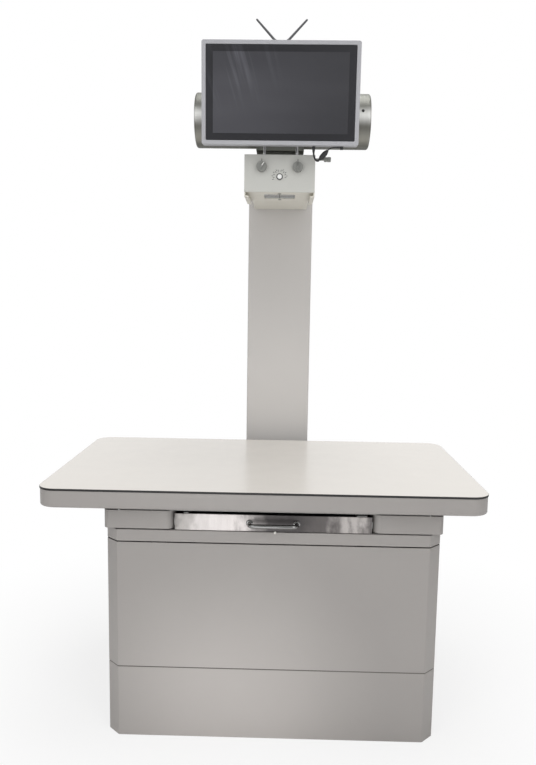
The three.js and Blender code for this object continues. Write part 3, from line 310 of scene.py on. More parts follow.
def dark_glass(colour, streak, painted_light=None):
    """Cover glass: nearly black, with a soft gloss, slanting wiped streaks near one upper corner, and
    where given a painted reflection that lightens it towards one place.
    """
    wiped_corner = (-0.14, -0.24, 1.9)
    wiped_reach = 0.2
    wiped_slant = math.radians(-16)
    finish = Finish(IOR=1.5)
    slant = finish.add("Mapping")
    slant.vector_type = "TEXTURE"
    finish.fill(slant, {"Rotation": (0, wiped_slant, 0), "Scale": (0.05, 1, 1.2)})
    finish.link(finish.place, slant.inputs["Vector"])
    wiped = finish.add("TexNoise", Scale=3, Detail=3, Distortion=0.3)
    finish.link(slant.outputs["Vector"], wiped.inputs["Vector"])
    haze = finish.noise(scale=5, detail=2, stretch=(0.4, 1, 1.6))
    tone = finish.ramp(haze, colour, streak, end=0.75)
    # Painted reflection: the tone grows lighter towards one place
    if painted_light is not None:
        tone = finish.lifted(tone, *painted_light)
    wipes = finish.spread(wiped.outputs["Fac"], 1, 2.6, start=0.52, end=0.75)
    finish.colour(finish.lifted(tone, wiped_corner, wiped_reach, wipes))
    finish.roughness(finish.noise(scale=160, detail=2), 0.22, 0.26)
    return finish.material


def clear_glass():
    """The pale clear window under the collimator."""
    finish = Finish(IOR=1.5, Transmission_Weight=0.85)
    clouds = finish.noise(scale=8, detail=2)
    finish.colour(finish.ramp(clouds, srgb(214, 224, 226), srgb(228, 234, 236)))
    finish.roughness(finish.noise(scale=30, detail=2), 0.04, 0.1)
    return finish.material


def reflection_banded(axis, stops, span, waver, gloss, stretch):
    """Metal with painted reflections: tone bands over a span of one axis, shifted by a cloudy noise, with
    a fine grain.
    """
    finish = Finish(Metallic=0.7)
    split = finish.add("SeparateXYZ")
    finish.link(finish.place, split.inputs["Vector"])
    shift = finish.add("Math", "MULTIPLY_ADD")
    shift.inputs[1].default_value = waver
    finish.link(finish.noise(scale=22, detail=6, stretch=(1, 1, 0.6)), shift.inputs[0])
    finish.link(split.outputs[axis], shift.inputs[2])
    low, high = [end + waver / 2 for end in span]
    finish.colour(finish.banded(shift.outputs["Value"], stops, low, high))
    grain = finish.noise(scale=300, stretch=stretch)
    finish.roughness(grain, gloss, gloss + 0.16)
    finish.bump(grain, strength=0.06, distance=0.0003)
    return finish.material


# Painted light: where a finish is painted lighter, how far that reaches and how strong it is
# Painted light on the cabinet paint, lighter left of the middle and low down
BASE_PAINTED_LIGHT = ((-0.12, -0.35, 0.12), 0.48, 1.52)
# Painted light on the column, lighter low down where the white tabletop throws light
COLUMN_PAINTED_LIGHT = ((0, 0.38, 0.72), 0.6, 1.28)
# Painted reflection on the active screen, lighter low on its left
SCREEN_PAINTED_REFLECTION = ((-0.15, -0.23, 1.69), 0.42, 1.9)

# Spans in metres, and painted reflection tones from one end of a span to the other
TUBE_SPAN = [corner.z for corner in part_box("tube_housing")]
# Painted reflection on the tube: a bright band near its middle and a fainter one low down, darker between
TUBE_REFLECTION_BANDS = [
    (0.0, srgb(104, 104, 98)),
    (0.12, srgb(150, 149, 142)),
    (0.3, srgb(110, 109, 103)),
    (0.52, srgb(222, 222, 219)),
    (0.7, srgb(128, 128, 122)),
    (1.0, srgb(112, 113, 106)),
]
DRAWER_SPAN = [-0.267, 0.267]
# Painted reflection on the drawer front: light and dark upright bands across its width
DRAWER_REFLECTION_BANDS = [
    (0.0, srgb(128, 124, 122)),
    (0.05, srgb(176, 172, 169)),
    (0.14, srgb(214, 209, 207)),
    (0.29, srgb(220, 214, 212)),
    (0.39, srgb(132, 128, 127)),
    (0.47, srgb(86, 83, 83)),
    (0.6, srgb(80, 77, 77)),
    (0.77, srgb(100, 96, 95)),
    (0.88, srgb(188, 183, 180)),
    (0.945, srgb(108, 104, 103)),
    (1.0, srgb(146, 142, 140)),
]

# How a grain is drawn out
ALONG_X = (0.03, 1, 1)
ROUND_X = (1, 0.03, 0.03)
UPRIGHT = (1, 1, 0.05)

# The finish of each material slot of the record, and from core_black on those of single pieces
LOOKS = {
    "base_paint": paint(srgb(157, 153, 150), gloss=0.4, flake=0.15, painted_light=BASE_PAINTED_LIGHT),
    "column_paint": paint(srgb(190, 187, 184), gloss=0.42, cloud=0.02, painted_light=COLUMN_PAINTED_LIGHT),
    "head_paint": paint(srgb(191, 191, 186), gloss=0.4, cloud=0.02),
    "zinc_steel": brushed(srgb(150, 150, 148), gloss=0.45, cloud=0.1, cloud_scale=30),
    "stainless": brushed(srgb(206, 204, 199), ALONG_X, gloss=0.26, cloud=0.12, cloud_scale=9),
    "tube_steel": reflection_banded("Z", TUBE_REFLECTION_BANDS, TUBE_SPAN, waver=0.012, gloss=0.36, stretch=ROUND_X),
    "chrome": brushed(srgb(150, 150, 149), (0.1, 1, 1), gloss=0.16, cloud=0.04, cloud_scale=20),
    "mirror": brushed(srgb(236, 236, 236), gloss=0.09, cloud=0.01),
    "white_laminate": laminate(srgb(228, 223, 216)),
    "dark_steel": paint(srgb(112, 113, 107), gloss=0.5, cloud=0.08),
    "lead": brushed(srgb(110, 113, 118), gloss=0.55, cloud=0.1, cloud_scale=25),
    "detector_black": plastic(srgb(34, 34, 36), gloss=0.55),
    "silver_frame": paint(srgb(168, 168, 172), gloss=0.4, cloud=0.015),
    "dark_glass": dark_glass(srgb(34, 34, 38), srgb(40, 40, 44)),
    "clear_glass": clear_glass(),
    "black_rubber": plastic(srgb(36, 36, 38), gloss=0.55),
    "grey_plastic": plastic(srgb(132, 133, 129), gloss=0.42),
    "white_plastic": plastic(srgb(240, 240, 238), gloss=0.3),
    "core_black": plastic(srgb(20, 19, 19), gloss=0.4),
    "screen_dark": dark_glass(srgb(48, 48, 52), srgb(57, 57, 61), SCREEN_PAINTED_REFLECTION),
    "mark_grey": plastic(srgb(50, 50, 49)),
    # Painted shade: a darker copy of the cabinet paint for the lip behind the plinth seam
    "seam_painted_shade": paint(srgb(105, 102, 98)),
    "whip_grey": plastic(srgb(84, 84, 87)),
    # Painted light: a paler paint for undersides, standing in for light from the white tabletop
    "painted_bounce_pale": paint(srgb(212, 209, 199), cloud=0.02),
    # Painted light: a paler grey for the neck plate, lighter than its dark steel to offset the shade in
    # the neck
    "neck_painted_light_grey": plastic(srgb(150, 151, 145)),
    "drawer_steel": reflection_banded("X", DRAWER_REFLECTION_BANDS, DRAWER_SPAN, waver=0.16, gloss=0.3, stretch=UPRIGHT),
}
for finish_name, finish_material in LOOKS.items():
    finish_material.name = finish_name

# Nodes that are seen mostly from below, painted paler to stand in for the light from the white tabletop
PAINTED_BOUNCE_NODES = ("collimator_shell", "support_arm", "accessory_rail_left", "accessory_rail_right")


def dressed(node, look):
    """Gives a CAD node one finish."""
    node.data.materials.clear()
    node.data.materials.append(LOOKS[look])
    return node


def dress_nodes():
    """Gives every CAD node its slot's finish, or, where it is seen from below, a paler paint that stands
    in for light from the tabletop.
    """
    slots = {row["node"]: row["material_slot"] for row in frame["record"]["subparts"]}
    for name, node in frame["nodes"].items():
        dressed(node, "painted_bounce_pale" if name in PAINTED_BOUNCE_NODES else slots[name])


# Mesh builders

WELD_REACH = 0.00002
SHARP_ANGLE = math.radians(35)


def placed(name, data, body, slot, looks=None):
    """Makes an object of a mesh or a curve, gives it its slot's look or others, and rides it on a body."""
    data.name = name
    piece = linked(name, data)
    for look in looks or [slot]:
        data.materials.append(LOOKS[look])
    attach(piece, body)
    return piece


def finished(work, smooth=35):
    """Turns a bmesh into mesh data with smooth faces and sharp corners."""
    bmesh.ops.recalc_face_normals(work, faces=work.faces)
    mesh = bpy.data.meshes.new("piece")
    work.to_mesh(mesh)
    work.free()
    mesh.polygons.foreach_set("use_smooth", [True] * len(mesh.polygons))
    mesh.set_sharp_from_angle(angle=math.radians(smooth))
    return mesh


def soften(piece, width, segments=2):
    """Rounds the sharp edges of a piece or a CAD node without touching its mesh."""
    weld = piece.modifiers.new("weld", "WELD")
    weld.merge_threshold = WELD_REACH
    bevel = piece.modifiers.new("edge_round", "BEVEL")
    bevel.width = width
    bevel.segments = segments
    bevel.limit_method = "ANGLE"
    bevel.angle_limit = SHARP_ANGLE
    bevel.use_clamp_overlap = True
    return bevel


def soften_nodes(names, width, segments=2):
    for name in names:
        soften(frame["nodes"][name], width, segments)


def stitch(work, loops, closed=False):
    """Joins vertex loops of equal length into a skin, back to the first loop where closed."""
    followers = loops[1:] + loops[:1] if closed else loops[1:]
    for a, b in zip(loops, followers):
        for i in range(len(a)):
            j = (i + 1) % len(a)
            work.faces.new((a[i], a[j], b[j], b[i]))


def stitch_solid(work, loops):
    """Joins vertex loops into a skin and closes both of its ends."""
    work.faces.new(loops[0])
    work.faces.new(loops[-1])
    stitch(work, loops)


def prism_mesh(outline, low, high):
    """A plan outline raised between two heights."""
    work = bmesh.new()
    stitch_solid(work, [[work.verts.new((x, y, z)) for x, y in outline] for z in (low, high)])
    return finished(work)


def ring_mesh(outer, inner, low, high):
    """A closed wall between two outlines with the same number of points."""
    work = bmesh.new()
    corners = ((outer, low), (outer, high), (inner, high), (inner, low))
    loops = [[work.verts.new((x, y, z)) for x, y in outline] for outline, z in corners]
    stitch(work, loops, closed=True)
    return finished(work)


def add_box(work, low, high):
    """Adds a box between two corners to a bmesh."""
    plan = [(low[0], low[1]), (low[0], high[1]), (high[0], high[1]), (high[0], low[1])]
    stitch_solid(work, [[work.verts.new((x, y, z)) for x, y in plan] for z in (low[2], high[2])])


def box_mesh(low, high):
    work = bmesh.new()
    add_box(work, low, high)
    return finished(work)


def arc(centre, radius, start, end, steps=6):
    """Points on an arc, angles in degrees."""
    points = []
    for i in range(steps + 1):
        angle = math.radians(start + (end - start) * i / steps)
        points.append((centre[0] + radius * math.cos(angle), centre[1] + radius * math.sin(angle)))
    return points


def rounded_rectangle(low, high, radii, by=0, steps=10):
    """A rectangle drawn in by a distance, with radii from its first corner on, counter-clockwise."""
    x0, y0 = low[0] + by, low[1] + by
    x1, y1 = high[0] - by, high[1] - by
    corners = [(x0, y0, 1, 1, 180), (x1, y0, -1, 1, 270), (x1, y1, -1, -1, 0), (x0, y1, 1, -1, 90)]
    points = []
    for (x, y, right, up, start), radius in zip(corners, radii):
        centre = (x + right * radius, y + up * radius)
        points += arc(centre, radius, start, start + 90, steps)
    return points


def filleted(points, radius, steps=6):
    """An open plan line with its inner corners rounded by an arc."""
    line = [Vector(p) for p in points]
    result = [line[0]]
    for before, corner, after in zip(line, line[1:], line[2:]):
        to_start = (before - corner).normalized()
        to_end = (after - corner).normalized()
        half = to_start.angle(to_end) / 2
        reach = radius / math.tan(half)
        centre = corner + (to_start + to_end).normalized() * radius / math.sin(half)
        first = corner + to_start * reach - centre
        last = corner + to_end * reach - centre
        sweep = first.angle_signed(last)
        for i in range(steps + 1):
            turn = Matrix.Rotation(-sweep * i / steps, 2)
            result.append(centre + turn @ first)
    result.append(line[-1])
    return [tuple(p) for p in result]


# Turns of a profile's axis or a plan's upper side
AXES = {
    "x": Matrix(((0, 0, 1), (1, 0, 0), (0, 1, 0))),
    "y": Matrix(((1, 0, 0), (0, 0, 1), (0, 1, 0))),
    "z": Matrix.Identity(3),
}
TO_FRONT = Matrix.Rotation(math.pi / 2, 4, "X")
TO_REAR = Matrix.Rotation(-math.pi / 2, 4, "X")


def facing(direction):
    """The turn that points a profile's axis along a direction."""
    return direction.to_track_quat("Z", "X").to_matrix()


def rod_profile(radius, length):
    return [(0, 0), (radius, 0), (radius, length), (0, length)]


def lathe_mesh(profile, axis="z", place=(0, 0, 0), turn=None, segments=48):
    """A (radius, height) profile turned about an axis. Points on the axis become one vertex."""
    work = bmesh.new()
    spin = AXES[axis]
    if turn is not None:
        spin = turn @ spin
    rings = []
    for radius, height in profile:
        count = 1 if radius < 1e-7 else segments
        ring = []
        for i in range(count):
            angle = 2 * math.pi * i / segments
            point = Vector((radius * math.cos(angle), radius * math.sin(angle), height))
            ring.append(work.verts.new(spin @ point + Vector(place)))
        rings.append(ring)
    for a, b in zip(rings, rings[1:]):
        for i in range(segments):
            j = (i + 1) % segments
            corners = [a[i % len(a)], a[j % len(a)], b[j % len(b)], b[i % len(b)]]
            unique = list(dict.fromkeys(corners))
            if len(unique) > 2:
                work.faces.new(unique)
    return finished(work, smooth=30)


def tube_curve(name, points, diameter, body, slot):
    """A smooth round cord through the points of its route."""
    data = bpy.data.curves.new(name, "CURVE")
    data.dimensions = "3D"
    data.bevel_depth = diameter / 2
    data.bevel_resolution = 5
    data.resolution_u = 16
    data.use_fill_caps = True
    spline = data.splines.new("BEZIER")
    spline.bezier_points.add(len(points) - 1)
    for knot, point in zip(spline.bezier_points, points):
        knot.co = point
        knot.handle_left_type = knot.handle_right_type = "AUTO"
    return placed(name, data, body, slot)


def bent_bar_mesh(points, radius, sides=24):
    """A round bar along a level route, closed at both ends."""
    work = bmesh.new()
    line = [Vector(p) for p in points]
    up = Vector((0, 0, 1))
    loops = []
    for i, point in enumerate(line):
        along = (line[min(i + 1, len(line) - 1)] - line[max(i - 1, 0)]).normalized()
        across = up.cross(along)
        loop = []
        for k in range(sides):
            angle = 2 * math.pi * k / sides
            offset = across * math.cos(angle) + up * math.sin(angle)
            loop.append(work.verts.new(point + offset * radius))
        loops.append(loop)
    stitch_solid(work, loops)
    return finished(work, smooth=50)


# Lead under the monitor


def add_lead():
    """The short lead that hangs under the monitor, with its in-line bead."""
    thick = [(x, LEAD_Y, HINGE.z + z) for x, z in LEAD_POINTS]
    thin = [(x, LEAD_Y, HINGE.z + z) for x, z in THIN_LEAD_POINTS]
    bead_axis = (Vector(thin[0]) - Vector(thick[-1])).normalized()
    bead_start = Vector((BEAD_START[0], LEAD_Y, HINGE.z + BEAD_START[1]))
    length = BEAD_LENGTH
    profile = [(0, 0), (0.0031, 0), (0.0036, 0.001), (0.0062, 0.008), (0.007, 0.012), (0.007, 0.021),
               (0.0062, 0.026), (0.0036, length - 0.001), (0.0031, length), (0, length)]
    mesh = lathe_mesh(profile, place=bead_start, turn=facing(bead_axis))
    bead = placed("suppressor_bead_shell", mesh, "monitor", "black_rubber")
    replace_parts(bead, "suppressor_bead")
    cord = tube_curve("lead_cord", thick, LEAD_DIAMETER, "monitor", "black_rubber")
    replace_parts(cord, "monitor_lead")
    fine = tube_curve("lead_cord_thin", thin, THIN_LEAD_DIAMETER, "monitor", "black_rubber")
    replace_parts(fine, "monitor_lead_thin")


# Cabinet

SHEET = 0.002
COVER_CHAMFER = 0.033
COVER_BEND = 0.006
PLINTH_SKIN_HEIGHT = 0.2025
LIP_OVERLAP = 0.0185
LIP_BITE = 0.001
LIP_EDGE = 0.0003
SHOULDER_OUTER = 0.014
SHOULDER_INNER = 0.022
SHOULDER_REAR = 0.002
SHOULDER_EDGE = 0.0009
LEAST_RADIUS = 0.0002


def cover_line(offset):
    """The plan line of the front covers, drawn in by a distance."""
    low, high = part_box("front_cover")
    x, y = high.x - offset, low.y + offset
    cut = COVER_CHAMFER - offset * (2 - math.sqrt(2))
    corners = [(-x, high.y), (-x, y + cut), (-x + cut, y), (x - cut, y), (x, y + cut), (x, high.y)]
    return filleted(corners, COVER_BEND - offset)


def add_cover(node, upper):
    """A sheet cover with softly rounded bends, from its node's foot up to a height."""
    outline = cover_line(0) + cover_line(SHEET)[::-1]
    skin = placed(node + "_skin", prism_mesh(outline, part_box(node)[0].z, upper), "base", "base_paint")
    soften(skin, SHEET_EDGE)
    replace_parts(skin, node)


def add_shoulder(node, front_radii):
    """A shoulder cover: a thin upright wall with rounded corners."""
    low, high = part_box(node)
    radii = [*front_radii, SHOULDER_REAR, SHOULDER_REAR]
    outer = rounded_rectangle(low, high, radii)
    inner = rounded_rectangle(low, high, [max(r - SHEET, LEAST_RADIUS) for r in radii], SHEET)
    skin = placed(node + "_skin", ring_mesh(outer, inner, low.z, high.z), "base", "base_paint")
    soften(skin, SHOULDER_EDGE)
    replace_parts(skin, node)


def add_cabinet():
    """The sheet covers, with the lip behind the lower seam and the ledge under the drawer."""
    plinth_low, plinth_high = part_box("plinth_cover")
    seam = plinth_low.z + PLINTH_SKIN_HEIGHT
    add_cover("plinth_cover", seam)
    lip = cover_line(SHEET - LIP_BITE) + cover_line(2 * SHEET)[::-1]
    mesh = prism_mesh(lip, seam - LIP_OVERLAP, plinth_high.z)
    # Painted shade: the lip takes the darker paint so that the seam reads as a shaded gap
    soften(placed("plinth_lip", mesh, "base", "base_paint", ["seam_painted_shade"]), LIP_EDGE, 1)
    add_cover("front_cover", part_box("front_cover")[1].z)
    band_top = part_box("header_band")[1].z
    add_cover("header_band", band_top)
    mesh = prism_mesh(cover_line(PLAY), band_top - SHEET, band_top)
    soften(placed("header_ledge", mesh, "base", "base_paint"), SHEET_EDGE)
    add_shoulder("left_shoulder_cover", (SHOULDER_OUTER, SHOULDER_INNER))
    add_shoulder("right_shoulder_cover", (SHOULDER_INNER, SHOULDER_OUTER))
    soften_nodes(("left_side_cover", "right_side_cover", "rear_cover"), SHEET_EDGE)
    add_rear_cover()


LOUVRE_ROWS = 6
LOUVRE_PITCH = 0.024
LOUVRE_X = 0.29
LOUVRE_Z = 0.24
LOUVRE_EDGE = 0.0018
STRIP_ROUNDNESS = 2.1
REAR_SCREW_X = 0.16
REAR_SCREW_SIDE = 0.02
REAR_SCREW_END = 0.03


def add_rear_cover():
    """Louvres over black strips that paint the shade in their slits, and pan-head screws on the back of
    the cabinet.
    """
    low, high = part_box("rear_cover")
    back = high.y

    def strip_mesh(x, z, half, bottom, top, depth):
        """A round-ended strip that stands on the back, between two heights over a place."""
        radii = [(top - bottom) / STRIP_ROUNDNESS] * 4
        outline = rounded_rectangle((x - half, -z - top), (x + half, -z - bottom), radii, steps=5)
        mesh = prism_mesh(outline, back + SKIN, back + depth)
        mesh.transform(TO_REAR)
        return mesh

    for i in range(2 * LOUVRE_ROWS):
        x = (-LOUVRE_X, LOUVRE_X)[i % 2]
        z = LOUVRE_Z + LOUVRE_PITCH * (i // 2)
        louvre = strip_mesh(x, z, half=0.045, bottom=0.003, top=0.011, depth=0.004)
        soften(placed(f"rear_louvre_{i}", louvre, "base", "base_paint"), LOUVRE_EDGE, 3)
        # Painted shade: a black strip under each louvre stands in for the dark slit
        slit = strip_mesh(x, z, half=0.042, bottom=-0.002, top=0.003, depth=0.0008)
        placed(f"rear_slit_shade_{i}", slit, "base", "base_paint", ["core_black"])
    head = [(0, 0), (0.0045, 0), (0.0044, 0.0012), (0.0034, 0.0022), (0.0016, 0.0026), (0, 0.0027)]
    columns = (low.x + REAR_SCREW_SIDE, -REAR_SCREW_X, REAR_SCREW_X, high.x - REAR_SCREW_SIDE)
    rows = (low.z + REAR_SCREW_END, high.z - REAR_SCREW_END)
    for i in range(len(columns) * len(rows)):
        place = (columns[i % len(columns)], back + SKIN, rows[i // len(columns)])
        mesh = lathe_mesh(head, place=place, turn=TO_REAR.to_3x3(), segments=24)
        placed(f"rear_screw_{i}", mesh, "base", "zinc_steel")


# Tabletop

TOP_CORNER = 0.05
APRON_WALL = 0.003
APRON_FLANGE = 0.03
APRON_FOLD = 0.005
BEAM_SPREAD = 0.2355
BEAM_LIFT = 0.0217
BEAM_HALF = 0.02
RAIL_HALF = 0.01
RAIL_DROP = 0.012
RAIL_BITE = 0.001


def add_tabletop():
    """The board: laminate on its upper face, and its black core at the edge and below."""
    low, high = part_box("tabletop_panel")
    mesh = prism_mesh(rounded_rectangle(low, high, [TOP_CORNER] * 4, steps=16), low.z, high.z)
    looks = ["white_laminate", "core_black"]
    board = placed("tabletop_board", mesh, "tabletop", "white_laminate", looks)
    core = looks.index("core_black")
    for face in mesh.polygons:
        face.material_index = 0 if face.normal.z > 0.5 else core
    soften(board, SHEET_EDGE).material = core
    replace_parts(board, "tabletop_panel")
    add_apron()


def add_apron():
    """The folded apron under the board, with its bottom flange, beams and rails in one weldment."""
    low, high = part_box("tabletop_frame")
    wall, flange, fold = APRON_WALL, APRON_FLANGE, APRON_FOLD
    inset = low.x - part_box("tabletop_panel")[0].x
    section = arc((fold, low.z + fold), fold, 180, 270)
    section += [(flange, low.z), (flange, low.z + wall), (wall, low.z + wall), (wall, high.z), (0, high.z)]
    work = bmesh.new()
    loops = []
    for by, z in section:
        plan = rounded_rectangle(low, high, [TOP_CORNER - inset - by] * 4, by, 12)
        loops.append([work.verts.new((x, y, z)) for x, y in plan])
    stitch(work, loops, closed=True)
    beam_low = low.z + BEAM_LIFT
    for side in (-1, 1):
        y = BEAM_Y + side * BEAM_SPREAD
        left, right = low.x + wall / 2, high.x - wall / 2
        add_box(work, (left, y - BEAM_HALF, beam_low), (right, y + BEAM_HALF, high.z - SKIN))
        left, right = low.x + flange, high.x - flange
        rail_low, rail_high = beam_low - RAIL_DROP, beam_low + RAIL_BITE
        add_box(work, (left, y - RAIL_HALF, rail_low), (right, y + RAIL_HALF, rail_high))
    apron = placed("tabletop_apron", finished(work, smooth=30), "tabletop", "base_paint")
    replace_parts(apron, "tabletop_frame")


# Drawer

DRAWER_EDGE = 0.001
CATCH_X = 0.0055
CATCH_DROP = 0.0006
RAIL_ENDS = {"left": (-0.243, -0.229), "right": (0.226, 0.253)}
RAIL_END_GAP = 0.0005
RAIL_END_DEPTH = 0.012
RAIL_END_TOP = 0.0028
RAIL_END_BOTTOM = 0.0016
HANDLE_RADIUS = 0.0058
HANDLE_BEND = 0.013


def add_drawer():
    """The steel front with its painted reflection bands and its handle, the catch below and the bright
    ends of the rails.
    """
    soften(dressed(frame["nodes"]["drawer_front"], "drawer_steel"), DRAWER_EDGE)
    add_handle()
    band_low, band_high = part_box("header_band")
    latch = [(0, 0), (0.0042, 0), (0.004, 0.0008), (0.003, 0.0017), (0.0014, 0.0021), (0, 0.0022)]
    place = (CATCH_X, band_low.y + SINK, band_high.z - CATCH_DROP)
    mesh = lathe_mesh(latch, place=place, turn=TO_FRONT.to_3x3(), segments=24)
    placed("drawer_catch", mesh, "base", "stainless")
    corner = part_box("drawer_front")[1]
    bottom, top = corner.z - RAIL_END_BOTTOM, corner.z + RAIL_END_TOP
    for name, (left, right) in RAIL_ENDS.items():
        front, back = corner.y + RAIL_END_GAP, corner.y + RAIL_END_DEPTH
        mesh = box_mesh((left, front, bottom), (right, back, top))
        soften(placed("drawer_rail_end_" + name, mesh, "drawer", "zinc_steel"), SHEET_EDGE)


def add_handle():
    """The bow handle: one bent chrome bar with a collar at each foot."""
    low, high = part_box("drawer_handle")
    radius = HANDLE_RADIUS
    span = (high.x - low.x) / 2 - radius
    foot, bow = high.y, low.y + radius
    middle = (low.z + high.z) / 2
    line = [(-span, foot), (-span, bow), (span, bow), (span, foot)]
    route = [(x, y, middle) for x, y in filleted(line, HANDLE_BEND, 8)]
    handle = placed("handle_bow", bent_bar_mesh(route, radius), "drawer", "chrome")
    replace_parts(handle, "drawer_handle")
    collar = [(0, 0), (0.0095, 0), (0.0095, 0.0012), (0.0075, 0.0028), (radius, 0.003), (0, 0.003)]
    for name, side in (("left", -1), ("right", 1)):
        place = (side * span, foot + PLAY, middle)
        mesh = lathe_mesh(collar, place=place, turn=TO_FRONT.to_3x3(), segments=32)
        placed("handle_collar_" + name, mesh, "drawer", "chrome")


# Column

COLUMN_FRONT = 0.380
COLUMN_RADIUS = 0.006
COLUMN_WALL = 0.004
TIE_HALF = 0.09
TIE_LOW = 0.508
TIE_HIGH = 0.588
TIE_BITE = 0.002
TIE_EDGE = 0.003
ARM_EDGE = 0.006
COLUMN_CAP_EDGE = 0.0015


def add_column():
    """The hollow column, and the bracket that ties it to the cabinet."""
    low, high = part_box("column")
    front_corner = (low.x, COLUMN_FRONT)
    outer = rounded_rectangle(front_corner, high, [COLUMN_RADIUS] * 4, steps=8)
    inner = rounded_rectangle(front_corner, high, [COLUMN_RADIUS - COLUMN_WALL] * 4, COLUMN_WALL, 8)
    column = placed("column_box", ring_mesh(outer, inner, low.z, high.z), "base", "column_paint")
    soften(column, SHEET_EDGE)
    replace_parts(column, "column")
    bracket = box_mesh((-TIE_HALF, low.y, TIE_LOW), (TIE_HALF, COLUMN_FRONT + TIE_BITE, TIE_HIGH))
    soften(placed("column_tie", bracket, "base", "column_paint"), TIE_EDGE, 3)
    soften_nodes(["support_arm"], ARM_EDGE, 4)
    soften_nodes(["column_cap"], COLUMN_CAP_EDGE)


# Tube head

TUBE_WALL = 0.004
TUBE_EDGE = 0.0008
CAP_RIM = 0.007
CAP_FLAT = 0.004
CAP_STEP = 0.001
CAP_HOLE_X = 0.2305
CAP_HOLE_LEAN = math.radians(11)
CAP_HOLE_RADIUS = 0.0042
CRADLE_EDGE = 0.0012
NECK_HEIGHT = 0.0255
NECK_PLATE_X = (-0.0435, 0.0475)
NECK_PLATE_FRONT = 0.0016
NECK_PLATE_LOW = 0.012
NECK_PLATE_HIGH = 0.0008
NECK_PLATE_EDGE = 0.0005
NECK_POSTS_X = {"left": -0.043, "right": 0.047}
POST_RADIUS = 0.0042
POST_EDGE = 0.0006


def add_tube():
    """The barrel with its two domed caps, and a black disc that paints the shade of the small vent hole in
    the right cap.
    """
    low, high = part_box("tube_housing")
    centre = (low + high) / 2
    radius = (high.z - low.z) / 2
    half = (high.x - low.x) / 2
    bore = radius - TUBE_WALL
    shoulder = radius - TUBE_EDGE
    shell = [(bore, -half), (shoulder, -half), (radius, TUBE_EDGE - half), (radius, half - TUBE_EDGE),
             (shoulder, half), (bore, half), (bore, -half)]
    barrel = placed("tube_barrel", lathe_mesh(shell, "x", centre, segments=96), "base", "tube_steel")
    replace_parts(barrel, "tube_housing")
    for side, name in ((-1, "left"), (1, "right")):
        node = "tube_end_cap_" + name
        low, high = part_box(node)
        length = high.x - low.x
        flat = radius - CAP_RIM
        sunk = length - TUBE_EDGE
        profile = [(bore, 0), (shoulder, 0), (radius, TUBE_EDGE)]
        profile += arc((flat, length - CAP_RIM), CAP_RIM, 0, 90, 10)
        profile += [(flat - CAP_FLAT, length), (flat - CAP_FLAT - CAP_STEP, sunk), (0, sunk)]
        start = low.x if side > 0 else high.x
        turn = Matrix.Identity(3) if side > 0 else Matrix.Rotation(math.pi, 3, "Z")
        mesh = lathe_mesh(profile, "x", (start, centre.y, centre.z), turn, 96)
        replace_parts(placed(node + "_dome", mesh, "base", "tube_steel"), node)
    # Painted shade: a thin black disc on the cap stands in for the dark vent hole
    hole = rod_profile(CAP_HOLE_RADIUS, 0.0006)
    out = Vector((0, -math.cos(CAP_HOLE_LEAN), math.sin(CAP_HOLE_LEAN)))
    place = Vector((CAP_HOLE_X, centre.y, centre.z)) + out * (radius - SINK)
    mesh = lathe_mesh(hole, place=place, turn=facing(out), segments=24)
    placed("cap_vent_hole_shade", mesh, "base", "black_rubber", ["core_black"])
    add_neck()


def add_neck():
    """The bright posts, and the inner plate at the front of the dark neck in a paler grey that paints
    light into the neck's shade.
    """
    soften_nodes(["tube_cradle"], CRADLE_EDGE)
    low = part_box("collimator_shell")[1].z
    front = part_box("tube_cradle")[0].y
    top = low + NECK_HEIGHT
    left, right = NECK_PLATE_X
    plate = box_mesh((left, front - NECK_PLATE_FRONT, top - NECK_PLATE_LOW),
                     (right, front - GAP, top - NECK_PLATE_HIGH))
    soften(placed("neck_plate", plate, "base", "dark_steel", ["neck_painted_light_grey"]), NECK_PLATE_EDGE)
    height = NECK_HEIGHT - PLAY
    post = [(0, 0), (POST_RADIUS, 0), (POST_RADIUS, height - POST_EDGE), (POST_RADIUS - POST_EDGE, height),
            (0, height)]
    for name, x in NECK_POSTS_X.items():
        mesh = lathe_mesh(post, place=(x, front - POST_RADIUS - GAP, low + PLAY), segments=24)
        placed("neck_post_" + name, mesh, "base", "chrome", ["mirror"])


# Collimator

KNOB_RADIUS = 0.0145
KNOB_DEPTH = 0.016
KNOB_FLUTES = 36
FLUTE_DEPTH = 0.035
SHAFT_RADIUS = 0.003
SHAFT_LENGTH = 0.014
POINTER_SINK = 0.0005
POINTER_HALF_WIDTH = 0.0024
POINTER_REACH = 0.0122
POINTER_EDGE = 0.001
LINE_HALF_WIDTH = 0.0009
LINE_START = 0.001
LINE_END = 0.0118
LINE_SINK = 0.0004
TICK_HALF_WIDTH = 0.0007
TICK_THICKNESS = 0.00012
DIAL_TICK_START = 0.0168
DIAL_TICK_LENGTH = 0.0062
FIELD_TICKS = 16
FIELD_TICK_FIRST = -8
FIELD_TICK_STEP = 14
FIELD_TICK_START = 0.0142
FIELD_TICK_STAGGER = 0.003
FIELD_TICK_LENGTH = 0.0052
LOCK_LENGTH = 0.019
CROSS_MARGIN = 0.002
CROSS_HALF_WIDTH = 0.0006
CROSS_GAP = 0.00005
WINDOW_SCREW_GAP = 0.016


